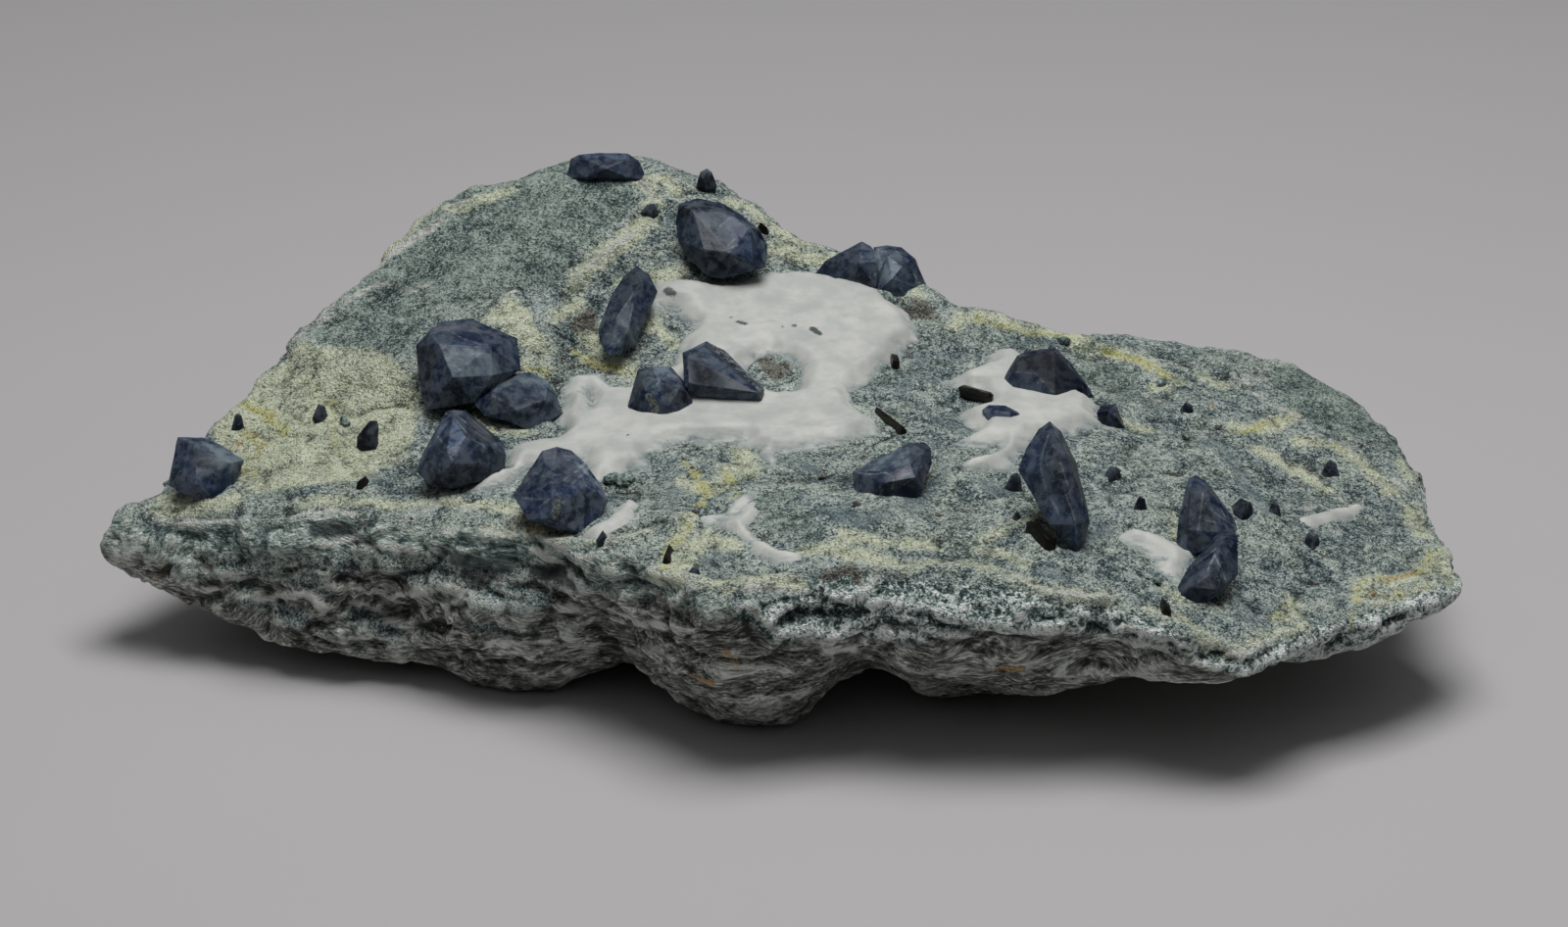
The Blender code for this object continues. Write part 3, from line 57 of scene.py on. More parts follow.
# Colour marks on the slab's upper face, read as x y and radius in millimetres along each stroke
FACE_MARKS = {
    "green": [[(56, 20.5, 1.1), (61.5, 21, 1.1), (65, 19.5, 1.1)], [(56, 10.5, 0.5), (65.5, 11.5, 0.8)],
        [(22.5, 18.5, 0.8), (26.5, 17.5, 0.7), (33.5, 19, 0.7)], [(22.5, -7, 0.6), (27, -4.5, 0.6)],
        [(12, 4, 0.8), (18.5, 8.5, 0.8), (22.5, 11, 0.7)], [(-53.5, 5.5, 0.6), (-50, 6, 0.6)],
        [(-65, -12.5, 1.1), (-62.5, -12, 1.1), (-61, -12.5, 0.8)], [(-66, -16, 0.8), (-63, -16.5, 1),
        (-61, -16, 0.8)]],
    "cream": [[(-53, 33, 1.2), (-51, 35.5, 1.2), (-49, 38, 1.5), (-46.5, 39, 1.2)], [(-44.5, 37.5, 0.7),
        (-42, 37.5, 0.8), (-38.5, 38.5, 0.7), (-36, 39, 0.5)], [(-27, 22.5, 0.8), (-25, 25.5, 1.1),
        (-22, 28, 1.1), (-19, 30.5, 1.1), (-17, 33.5, 1.2), (-16, 36.5, 1.1), (-17, 38.5, 0.9), (-20, 41, 0.7)],
        [(-13, 39.5, 0.8), (-15.5, 40, 0.8)], [(-36.5, 16, 1.6), (-33.5, 14, 1.8), (-31, 12.5, 1.3),
        (-35, 18, 1.3)], [(-28.5, 17.5, 1), (-26, 20.5, 0.9)], [(-32.5, 9.5, 0.8), (-30, 9.5, 0.6)],
        [(-38.5, 0, 0.5), (-35.5, -3.5, 0.6), (-31.5, -4, 0.5)], [(-24.5, 15, 1), (-21, 11.5, 0.8),
        (-18, 7.5, 0.8)], [(-19.5, 23.5, 1.3), (-13, 24.5, 1.3), (-16.5, 16, 1), (-12.5, 12.5, 0.8)],
        [(-6, 39, 0.8), (-3, 38.5, 0.9), (-0.5, 36.5, 0.9), (2.5, 34.5, 0.8), (6, 34, 0.5)], [(1, 32.5, 1.1),
        (4.5, 31, 1.1), (8.5, 32, 0.8)], [(18.5, 26, 0.4), (20, 25, 0.4)], [(24.5, 19.5, 0.8), (26.5, 22, 1.1),
        (29, 23.5, 1.1), (34, 23.5, 1.2), (39, 23.5, 1.2), (42, 22, 1.1)], [(41.5, 20, 1.2), (45, 19.5, 1.3),
        (49, 17.5, 1.3), (51.5, 15, 1.1), (53.5, 14, 0.7)], [(58, 14.5, 0.8), (60.5, 13, 0.7)], [(51, 11, 0.8),
        (54.5, 13, 0.8)], [(61, 0.5, 1), (65, 2.5, 1.2), (69, 6.5, 0.9)], [(69, 0.5, 1), (73, 1, 1),
        (77, -1.5, 1.2), (78.5, -4.5, 1), (80.5, -7.5, 1.1)], [(83, 0, 0.8), (83.5, -4, 0.8)], [(83, -11, 1.3),
        (83, -17.5, 1)], [(73, -34.5, 1), (74.5, -31, 0.6), (78, -30.5, 0.7), (81, -28.5, 0.9), (85.5, -21, 1),
        (85.5, -27, 1)], [(75.5, -35, 0.7), (79.5, -32, 0.6), (84, -28, 0.6)], [(-15, -40.5, 0.4),
        (-10.5, -43.5, 0.6), (-5.5, -45, 0.8), (0.5, -43, 0.8), (3.5, -43.5, 0.6)], [(4, -38, 0.7),
        (7.5, -38, 1.1), (11.5, -40, 1.1), (14, -41.5, 1), (17, -42, 0.6), (20.5, -40, 1.1), (25.5, -40.5, 0.8),
        (30.5, -43, 0.8), (34, -44.5, 0.7), (37.5, -44.5, 0.8), (41, -44, 0.5)], [(9, -35.5, 1),
        (13.5, -37.5, 0.8), (20, -35.5, 0.8)], [(26, -35.5, 0.8), (31.5, -39.5, 0.7)], [(-42, -18.5, 0.7),
        (-38, -20.5, 1), (-33, -23, 1.1), (-28, -27.5, 0.7)], [(-35.5, -26, 0.4), (-27.5, -29.5, 0.4),
        (-22.5, -32.5, 0.5), (-18, -33.5, 0.5), (-15, -32, 0.4)], [(-60, -16, 0.9), (-54.5, -16.5, 0.9),
        (-48.5, -18, 0.9), (-43.5, -18.5, 0.5)], [(-79.5, -7.5, 0.8), (-75.5, -11.5, 1.3), (-70.5, -13, 1.1),
        (-68.5, -12, 0.8)], [(-80, -10.5, 0.8), (-77, -12, 0.6)], [(-11, -19, 1.1), (-7.5, -22.5, 1.4),
        (-5, -20.5, 1.1)], [(-10.5, -29.5, 1), (-11.5, -34.5, 1), (-11.5, -41, 1.1), (-8, -32.5, 1),
        (-4.5, -36, 0.7)], [(-4, -11, 1.1), (-2.5, -18, 1.1), (-6, -15.5, 1)], [(51, -23, 0.4),
        (50.5, -29.5, 0.4)], [(48.5, -40, 0.4), (50.5, -42, 0.5)], [(46.5, -45, 0.6), (50, -46, 0.5),
        (51.5, -47.5, 0.6), (53.5, -49, 0.7), (55, -49.5, 0.7), (57.5, -48.5, 0.5), (61.5, -44.5, 0.6),
        (66, -40.5, 0.5)], [(65, -35.5, 0.7), (65, -38.5, 0.6), (62, -41.5, 0.6)], [(26.5, -33, 0.4),
        (37.5, -25, 0.5)], [(63.5, -3.5, 1), (68, -5.5, 0.9), (71.5, -9.5, 1)], [(45, -1.5, 0.8),
        (49, -3, 0.8)]],
    "yellow": [[(-61, 11, 0.3), (-60.5, 7.5, 0.3), (-58, 6.5, 0.3), (-57.5, 0.5, 0.3), (-57, -2.5, 0.4),
        (-55, -5.5, 0.4)], [(-71, 9, 0.9), (-67.5, 6, 1), (-64, 1.5, 0.9)], [(-69.5, 2.5, 0.9),
        (-66.5, -1, 0.8), (-68, -3.5, 0.6)], [(-19, 29, 0.5)], [(-38.5, 0.5, 0.5), (-36, -3, 0.5)],
        [(-32, 9, 0.6), (-29.5, 9, 0.5)], [(-26, 13, 0.8), (-22, 10, 0.8), (-17, 7, 0.6)], [(-19.5, 32.5, 0.3),
        (-18.5, 30.5, 0.4)], [(-11, -13.5, 0.6), (-8, -23, 0.9), (-9, -26.5, 0.6)], [(-4, -25, 0.6),
        (-6, -17.5, 0.6)], [(-10, -28.5, 0.6), (-10.5, -32.5, 0.5), (-13, -36.5, 0.6), (-13, -41, 0.6)],
        [(18, 25.5, 0.4)], [(17.5, 23.5, 0.4)], [(15, -3.5, 0.4), (17, -5, 0.4)], [(45, 19, 0.9),
        (49.5, 17, 0.9), (53, 14, 0.7)], [(28, 22, 0.7), (35, 23, 0.7), (40.5, 22, 0.7)], [(62, 0.5, 0.8),
        (65, 3.5, 0.8), (69.5, 7, 0.6)], [(74, 0.5, 0.6)], [(72, -39, 0.4), (73, -35, 0.5), (73.5, -32, 0.4),
        (75.5, -30.5, 0.4), (78, -30, 0.4), (81.5, -27.5, 0.5), (84, -21.5, 0.6)], [(76.5, -34, 0.5),
        (80, -31.5, 0.4)], [(64.5, -35.5, 0.5), (62, -41, 0.4)], [(50.5, -29, 0.4)], [(49, -40.5, 0.4)],
        [(27, -33, 0.4)], [(34, -27.5, 0.4)], [(15.5, 16, 0.3)], [(-70.5, -3.5, 0.6), (-67, -7, 0.5)],
        [(82.5, -17.5, 0.5)]],
    "orange": [[(-70, 0.5, 0.6)], [(-68, 1.5, 0.4), (-67.5, 2, 0.4)], [(-69, -1.5, 0.4)], [(-66, 5, 0.4)],
        [(77.5, -30.5, 0.4), (79.5, -29, 0.4), (81.5, -27, 0.4)], [(75, -32.5, 0.4), (75.5, -34, 0.2)],
        [(-30.5, -27, 0.5), (-28, -28.5, 0.4)], [(6.5, -19, 0.2)], [(10.5, -28.5, 0.3)], [(0, -43, 0.2)],
        [(21, -28.5, 0.2)], [(58.5, 7, 0.4)]],
    "white": [[(-64, 18, 0.5), (-61, 21.5, 0.5), (-57, 27.5, 0.5), (-55, 30, 0.7), (-52, 32, 0.7),
        (-48, 34, 0.7), (-45, 35, 0.5)], [(-63, 20.5, 0.4), (-60.5, 20.5, 0.5), (-59, 21.5, 0.4)],
        [(-58, 23, 0.4), (-54, 26.5, 0.5), (-51.5, 27, 0.5)], [(-49.5, 23.5, 0.4), (-46, 24.5, 0.4)],
        [(-45, 38, 0.4), (-41.5, 38, 0.4)], [(-37, 20, 0.5), (-34.5, 20.5, 0.4)], [(-39, 17, 0.5)],
        [(63.5, 11, 0.4), (66.5, 8.5, 0.4), (70, 6.5, 0.4), (72, 2.5, 0.4), (75.5, 2, 0.4), (78, 0.5, 0.4)],
        [(61.5, 16, 0.3), (64, 13, 0.3), (66, 16, 0.3), (65.5, 18.5, 0.2)], [(68, 20.5, 0.3),
        (70.5, 22.5, 0.3)], [(68, -17, 0.3), (70.5, -14, 0.3)], [(81, -5, 0.5), (82.5, -7, 0.5)],
        [(-61, -18, 0.4), (-58.5, -18, 0.4), (-55, -18.5, 0.5), (-51.5, -20, 0.4)], [(-47, -21, 0.4),
        (-43, -20, 0.4), (-41.5, -18.5, 0.2)], [(-41.5, -24.5, 0.3), (-35.5, -26, 0.3), (-27.5, -29.5, 0.3),
        (-22.5, -32.5, 0.4), (-18, -33.5, 0.4), (-15, -32, 0.3)], [(-79.5, -12, 0.4), (-74, -14, 0.4),
        (-69.5, -15, 0.3)], [(55, -49.5, 0.4), (60, -47, 0.4)], [(30.5, -43, 0.5), (34, -44.5, 0.5),
        (37.5, -44.5, 0.5), (41, -44, 0.4)], [(-3, -45, 0.5), (1.5, -44.5, 0.5)], [(-20, 41, 0.4),
        (-17, 38.5, 0.5), (-16, 36.5, 0.5)], [(-25, 25.5, 0.5), (-22, 28, 0.5), (-19, 30.5, 0.5)]],
    "smear": [[(-8.5, -38.5, 0.5), (-6, -37, 0.6), (-4, -39, 0.5)], [(6.5, -29.5, 1.1), (11.5, -33.5, 1.1),
        (14, -30, 1.1)], [(26.5, -20, 1.1), (30, -21, 1.1)], [(22, -18, 1), (17.5, -28.5, 1)], [(-13, -27, 0.7),
        (-11, -16.5, 0.7)], [(36.5, -42, 0.7), (33, -40.5, 0.6)], [(48, 8.5, 1), (44, 0.5, 0.9)],
        [(56.5, -3.5, 1), (60, -7, 0.9), (62.5, -20, 1)], [(70, -22, 0.6), (72.5, -22.5, 0.6)], [(70.5, 8, 1),
        (78.5, 6.5, 1)], [(-55.5, 7, 0.6), (-52, 3.5, 0.6)], [(-53, -13, 0.6), (-51, -11, 0.6)],
        [(-24.5, -20.5, 0.6), (-22, -23, 0.5)], [(20, 12.5, 0.8), (17, 3, 0.8)], [(22, -4.5, 0.9),
        (25.5, -6.5, 0.8)], [(42, -30, 1), (38, -34.5, 1)], [(1.5, -14, 0.9), (5.5, -17, 0.9)]],
    "dark": [[(-21, -16.5, 0.6), (-19.5, -16, 0.8), (-17.5, -16, 0.6)], [(-26, 16.5, 1), (-24.5, 19.5, 0.9),
        (-24, 14.5, 0.9)], [(-28, 21, 0.5)], [(18, 22, 1.2), (21, 22, 1.2), (19.5, 24, 0.8)],
        [(15.5, 26.5, 0.5)], [(-1.5, 9.5, 1), (0.5, 6, 1.2), (1.5, 7.5, 0.9)], [(-14.5, -0.5, 0.5),
        (-15, -3.5, 0.4)], [(41.5, 2.5, 0.4), (42.5, 2.5, 0.4)], [(69.5, -5, 0.9), (71.5, -7, 0.5)],
        [(66.5, -31.5, 0.5), (68, -32, 0.5)], [(-58.5, 3, 0.4)], [(-54, -13, 0.3), (-52.5, -10.5, 0.3)],
        [(29, -39.5, 0.2), (28, -39, 0.2)], [(6, -38.5, 0.5)], [(6.5, -42.5, 0.7), (10, -41.5, 0.7),
        (11, -43.5, 0.6)], [(3, -43.5, 0.7)], [(-24.5, 11, 0.7), (-20.5, 8.5, 0.6)], [(-11, 41.5, 0.4),
        (-8.5, 40, 0.4)], [(-17, 35, 0.3)]],
}

# Colour marks on the front, read as x z and radius in millimetres along each stroke
FRONT_MARKS = {
    "green": [[(-27.5, 23.5, 0.9), (-22.5, 23.5, 1.1), (-17.5, 24.5, 1.1), (-15.5, 26.5, 1)]],
    "orange": [[(-82, 12, 0.3), (-79.5, 11.5, 0.4), (-77, 12, 0.3)], [(-76, 7, 0.5)], [(-10, 11.5, 0.5),
        (-7.5, 11, 0.6)], [(-5.5, 17.5, 0.6), (-4, 15, 0.5)], [(27.5, 12.5, 0.7), (30.5, 13, 0.7)]],
    "white": [[(-67, 21.5, 0.3), (-67.5, 19.5, 0.3), (-66.5, 18.5, 0.3), (-65.5, 17.5, 0.3)], [(-60, 19.5, 0.3),
        (-57, 19.5, 0.4), (-52.5, 20.5, 0.4), (-50, 21.5, 0.5), (-48, 22.5, 0.5)], [(-77.5, 11.5, 0.5),
        (-75, 13.5, 0.5), (-72, 14, 0.5), (-69, 13.5, 0.5)], [(-75.5, 10.5, 0.5), (-71, 11, 0.5)],
        [(-68.5, 11, 0.6), (-64, 11, 0.6), (-59.5, 13, 0.5), (-57, 11, 0.5)], [(-57, 14, 0.5), (-53.5, 14, 0.5),
        (-49.5, 13, 0.5)], [(-49, 12, 0.5), (-44.5, 15, 0.5), (-40.5, 16.5, 0.6), (-36.5, 15.5, 0.6),
        (-34, 14, 0.5), (-31.5, 12.5, 0.4)], [(-53.5, 11.5, 0.5), (-48.5, 9, 0.6), (-46, 8.5, 0.5)],
        [(-41, 13.5, 0.5), (-40.5, 9, 0.4), (-39.5, 6, 0.4)], [(-45.5, 20, 0.5), (-49.5, 20, 0.5),
        (-53, 19, 0.5)], [(-29.5, 23, 0.4), (-26.5, 22, 0.5), (-22.5, 20, 0.5)], [(-26, 24, 0.6),
        (-22.5, 24, 0.6)], [(-22, 18, 0.4), (-20.5, 16.5, 0.5), (-16.5, 16.5, 0.5), (-11.5, 20, 0.5),
        (-8, 19.5, 0.4)], [(-15, 20.5, 0.4), (-11.5, 23.5, 0.4), (-9, 25.5, 0.4)], [(-16.5, 6.5, 0.5),
        (-13, 5.5, 0.5), (-10.5, 3.5, 0.4)], [(-34.5, 7.5, 0.4), (-32, 9, 0.4), (-30, 8, 0.4)],
        [(-2, 23.5, 0.5), (0.5, 20.5, 0.5), (4, 18.5, 0.5), (9, 17, 0.5)], [(11, 24.5, 0.5), (13.5, 26, 0.4)],
        [(13.5, 20, 0.5), (21, 20, 0.5), (30.5, 20, 0.4), (37.5, 20.5, 0.4)], [(44.5, 18.5, 0.5),
        (49.5, 18.5, 0.5), (54, 17, 0.4)], [(43.5, 21, 0.4), (48, 20, 0.4), (51.5, 19, 0.4)], [(6.5, 16, 0.4),
        (10, 16, 0.4), (12.5, 10.5, 0.4)]],
    "lens": [[(-40.5, 20, 1), (-35.5, 20, 1.1), (-33, 20.5, 1.1)], [(-29.5, 20, 1), (-26.5, 20.5, 1.1),
        (-24, 20, 0.7)], [(-38.5, 18, 0.5), (-36.5, 18, 0.5)], [(-58, 21, 1.1), (-55, 21.5, 1.1),
        (-53, 21, 0.7)]],
}

# Larger patches of the upper face, as outlines x y
FACE_AREAS = {
    "green": [[(-72, 20), (-68, 23), (-63, 29), (-58, 35), (-51, 40), (-45, 46), (-35, 50), (-22, 52),
        (-17, 48), (-20, 38.5), (-18.5, 36), (-20.5, 33), (-24, 29.5), (-26.5, 27.5), (-28, 23.5), (-30, 21.5),
        (-35, 20.5), (-39.5, 18), (-41.5, 16), (-47, 18), (-47, 12.5), (-48.5, 7.5), (-51, 9.5), (-57, 14.5),
        (-61.5, 16.5)], [(67, 20), (71.5, 24), (78, 20), (80, 18), (84, 14.5), (84, 9.5), (85, 2), (80, 4),
        (74.5, 3), (71, 6.5), (68, 9), (67, 13.5)], [(34, 6), (41, 14), (46.5, 16), (49.5, 13), (48.5, 7),
        (43, 5.5), (40, 9.5)], [(-2, -25.5), (1.5, -24.5), (4.5, -29.5), (6.5, -35), (7.5, -39.5), (6, -38),
        (3.5, -35), (1, -34), (-1, -32.5), (-2.5, -30.5)], [(61.5, -45.5), (67, -40.5), (74.5, -38),
        (75, -35.5), (67, -40.5)]],
    "cream": [[(-69.5, 12), (-64, 16.5), (-58, 14.5), (-52.5, 12), (-48.5, 7.5), (-47, 5), (-46.5, -1.5),
        (-48, -6.5), (-51, -8.5), (-55, -12), (-61.5, -12), (-67.5, -11), (-70, -5), (-70, -2), (-72.5, 1.5),
        (-74.5, 4.5), (-72, 8.5), (-70, 9.5)]],
}

# Where the front is fibrous, as an outline x z; everything under it and behind is too
FIBRE_TOP = [(-95, 16), (-87.5, 15.5), (-75.5, 16), (-67.5, 16.5), (-57, 18.5), (-48, 18), (-39, 18.5),
             (-28, 19.5), (-20, 20), (-10.5, 25), (-5, 25), (-4, 22.5), (1.5, 18), (11.5, 18), (21, 19),
             (32.5, 19.5), (42, 19.5), (48, 18.5), (55.5, 16.5), (67, 16), (74.5, 14.5), (80, 13.5), (95, 13.5)]

# Parts of the front, as outlines x z: the granular band, the wispy lip and the right-hand edge. The band is
# painted paler than its granular rock, and the edge pale, as painted light for the light that falls on the
# front
FRONT_AREAS = {
    "band": [(-4.5, 27.5), (-4, 22), (1.5, 18), (11.5, 18), (21, 19), (32.5, 19.5), (42, 19.5), (48, 20),
        (52, 21), (46, 24), (40, 26), (30, 27.5), (18, 28), (6, 28.5)],
    "lip": [(-90, 14), (-90, 24), (-70, 24), (-60, 24.5), (-50, 25), (-42, 25.2), (-32, 26), (-22, 26.5),
        (-14, 27.5), (-5, 27.5), (-5, 23), (-12, 22), (-22, 21), (-29, 20.5), (-40, 20.5), (-48, 19.5),
        (-57, 18.5), (-67, 16.5), (-76, 15)],
    "edge": [(46, 20), (50, 26), (60, 28), (76, 28), (92, 26), (92, 8), (76, 11), (60, 14)],
}

# Ridges along the rim of the upper face: x y along each, radius, height, and how soft
RIDGES = [
    ([(-15, -40.5), (-10.5, -43.5), (-5.5, -45), (0.5, -43), (4, -41)], 0.3, 0.7, 0.9),
    ([(6, -41.5), (11.5, -41.5), (14, -42.5), (17, -42.5), (20.5, -41.5), (25.5, -41.5), (30.5, -43.5),
     (34, -45), (37.5, -45), (41, -44.5)], 0.3, 0.7, 0.9),
    ([(46.5, -45.5), (51.5, -48), (55, -50), (57.5, -49), (61.5, -45), (66, -41)], 0.3, 0.6, 0.9),
    ([(-41.5, -24.5), (-35.5, -26.5), (-27.5, -30), (-22.5, -33), (-18, -34), (-15, -33)], 0.3, 0.6, 0.8),
    ([(-79, -12.5), (-73, -14.5), (-66, -16.5), (-60, -18.5), (-52, -19.8), (-44, -21)], 0.3, 0.5, 0.8),
    ([(-27, 22.5), (-25, 25.5), (-22, 28), (-19, 30.5), (-17, 33.5)], 0.4, 0.4, 0.9),
]

# Natrolite on the rock: outline x y, thickness, and where the rock shows through
NATROLITE = {
    "natrolite_large": (
        [(-17.4, 60.5), (-13.2, 61.6), (-7.9, 62.8), (-2, 66.2), (2.7, 66.2), (8, 65), (13.3, 62.9),
         (16.8, 59.5), (18.2, 56.4), (18.6, 53.2), (15.4, 49.9), (12, 43.3), (8.7, 39.9), (9.3, 36.2),
         (11.8, 34.1), (12.7, 30.8), (7.8, 27.2), (0, 25.7), (-1.4, 20.6), (-3.3, 26.5), (-7.6, 28.2),
         (-10.3, 27.3), (-13.9, 28.7), (-17.4, 26.9), (-17, 22.3), (-20, 22.9), (-24.2, 20.8), (-26.4, 25.8),
         (-32.6, 24.1), (-35, 20.2), (-41.7, 19.9), (-38.6, 23.1), (-35.5, 24.9), (-35.9, 29.3), (-30.5, 32.2),
         (-29.1, 34.5), (-30, 37.4), (-28.7, 44.2), (-28.1, 46.8), (-24.4, 47.1), (-23, 44.6), (-20.4, 43.2),
         (-18.1, 44.4), (-14.9, 45.3), (-14.3, 48), (-12.3, 53.3), (-14.4, 55.5), (-18.1, 54.2), (-17.9, 57.7)],
        1.5,
        [(-4.8, 44.4), (-3.2, 47), (-1.9, 48.1), (1, 46.2), (1.8, 44), (1.5, 40.6), (-0.6, 40.7),
         (-2.6, 41.7)]),
    "natrolite_right": (
        [(20.8, 43.7), (24, 47), (27.4, 48.9), (26.8, 51), (29.5, 53.5), (32.1, 53.1), (35.7, 46.1), (39.3, 42),
         (41.4, 39.3), (40.7, 36.7), (42.1, 34.3), (38.8, 32.8), (36.1, 30.4), (32.8, 28.4), (30.4, 25.6),
         (29.8, 21.9), (26.2, 20.1), (23, 19.6), (21.8, 21.5), (25.1, 23.9), (27.4, 26.6), (23.9, 26.4),
         (21.4, 26.9), (25.1, 31), (22.7, 33.7), (22.4, 36.8), (26.3, 38.8), (23.8, 41.9)],
        1.6, None),
    "natrolite_forked": (
        [(-10, 8.7), (-7.1, 8.9), (-4.9, 12.5), (-3.4, 12.6), (-3.9, 8.1), (-4.6, 6), (-2.7, 2.6), (-0.6, 0.3),
         (2.2, -0.4), (2.2, -1.8), (0.7, -2.4), (-1.2, -2), (-3.9, 0.2), (-6.1, 4.6), (-9.2, 7.5)],
        1.2, None),
    "natrolite_by_pair": (
        [(41.5, 6.4), (43.1, 9), (46.5, 8.2), (50.1, 6.8), (52.1, 7.1), (48.4, -0.4), (46.2, 0.5), (45.9, 2.4),
         (43.2, 4.1)],
        1.4, None),
    "natrolite_far_right": (
        [(65.9, 17.4), (68.3, 20.5), (70.8, 23.9), (74, 25.7), (74.7, 25.3), (73, 23.1), (70.1, 19.4),
         (67.2, 16.9)],
        1.0, None),
    "natrolite_front": (
        [(-25.4, 5.8), (-24.5, 7.8), (-22, 8.5), (-20.7, 12.1), (-19.5, 14.8), (-18.2, 12.8), (-18.9, 7.8),
         (-20.7, 6), (-23.5, 4.6)],
        1.2, None),
}
NATROLITE_SHIFT = (1.65, -37.7)

# Small grains on the upper face: x y and size
BROWN_GRAINS = [(6.4, -19.0, 0.5), (10.7, -29.0, 0.6), (0.1, -43.1, 0.5), (20.9, -28.8, 0.5), (58.5, 0.2, 0.5),
    (-10.0, -15.9, 0.4), (-9.5, -28.0, 0.5), (31.0, -35.5, 0.4), (63.0, -8.0, 0.4)]
ROCK_CHIPS = [(-20.4, -16.5, 1.1), (-19.2, -16.9, 1.2), (-18.0, -16.6, 1.0), (41.9, 2.4, 0.9),
    (15.6, 23.8, 1.2), (14.6, 24.3, 0.9), (47.3, -39.1, 0.8), (54.0, -3.1, 0.7), (-16.0, 35.1, 0.8),
    (39.5, 20.7, 0.9), (52.0, 12.0, 0.8), (-56.0, 2.0, 0.8), (70.0, -16.0, 0.8)]

# Marks on the natrolite: x y radius along each stroke
NATROLITE_MARKS = {
    "fleck": [[(-4.5, 15.5, 0.4), (-3.5, 15, 0.4)], [(3, 14.5, 0.4)], [(5.5, 14, 0.5), (6.5, 13, 0.4)],
        [(-5.5, 16.5, 0.3)], [(1.5, 14, 0.3)], [(-18.5, -8.5, 0.3)], [(-1.5, 2, 0.3), (-2, 0.5, 0.3)],
        [(-25.5, 5, 0.3)], [(-14, 20, 0.5), (-13, 19.5, 0.4)]],
    "thinned": [[(-14.5, 18.5, 0.8), (-13.5, 17.5, 0.9), (-12.5, 15.5, 0.8)], [(-24.5, 6.5, 0.8),
        (-23.5, 3.5, 0.8), (-24, 0.5, 0.6)], [(-10.5, -8.5, 0.8), (-6, -9, 0.9), (-3, -8.5, 0.8)],
        [(-18.5, -15, 0.9), (-16.5, -14.5, 0.8)], [(0.5, -12, 0.8), (1, -13, 0.6)], [(17.5, 14, 0.9),
        (20.5, 15.5, 0.8), (22.5, 15.5, 0.5)], [(15.5, 8.5, 0.8), (17, 6.5, 0.6)], [(11.5, 30, 0.8),
        (14, 30.5, 0.8)], [(-36, -17, 0.6), (-33.5, -16.5, 0.7), (-31, -13.5, 0.6)], [(-7, 7.5, 0.6),
        (-5.5, 4.5, 0.6)], [(22.5, -14.5, 0.8), (24.5, -18, 0.7), (28, -17.5, 0.6)], [(23.5, 3.5, 0.8),
        (25.5, 4, 0.6)], [(27.5, 4.5, 0.6)], [(-6.5, -30, 0.9), (-4.5, -29.5, 0.9), (-2.5, -26.5, 0.7)],
        [(-3, -35.5, 0.7), (-1.5, -38.5, 0.8)], [(46, -33, 0.7), (49, -34.5, 0.7)], [(69, 23.5, 0.7),
        (74, 22, 0.8)]],
}
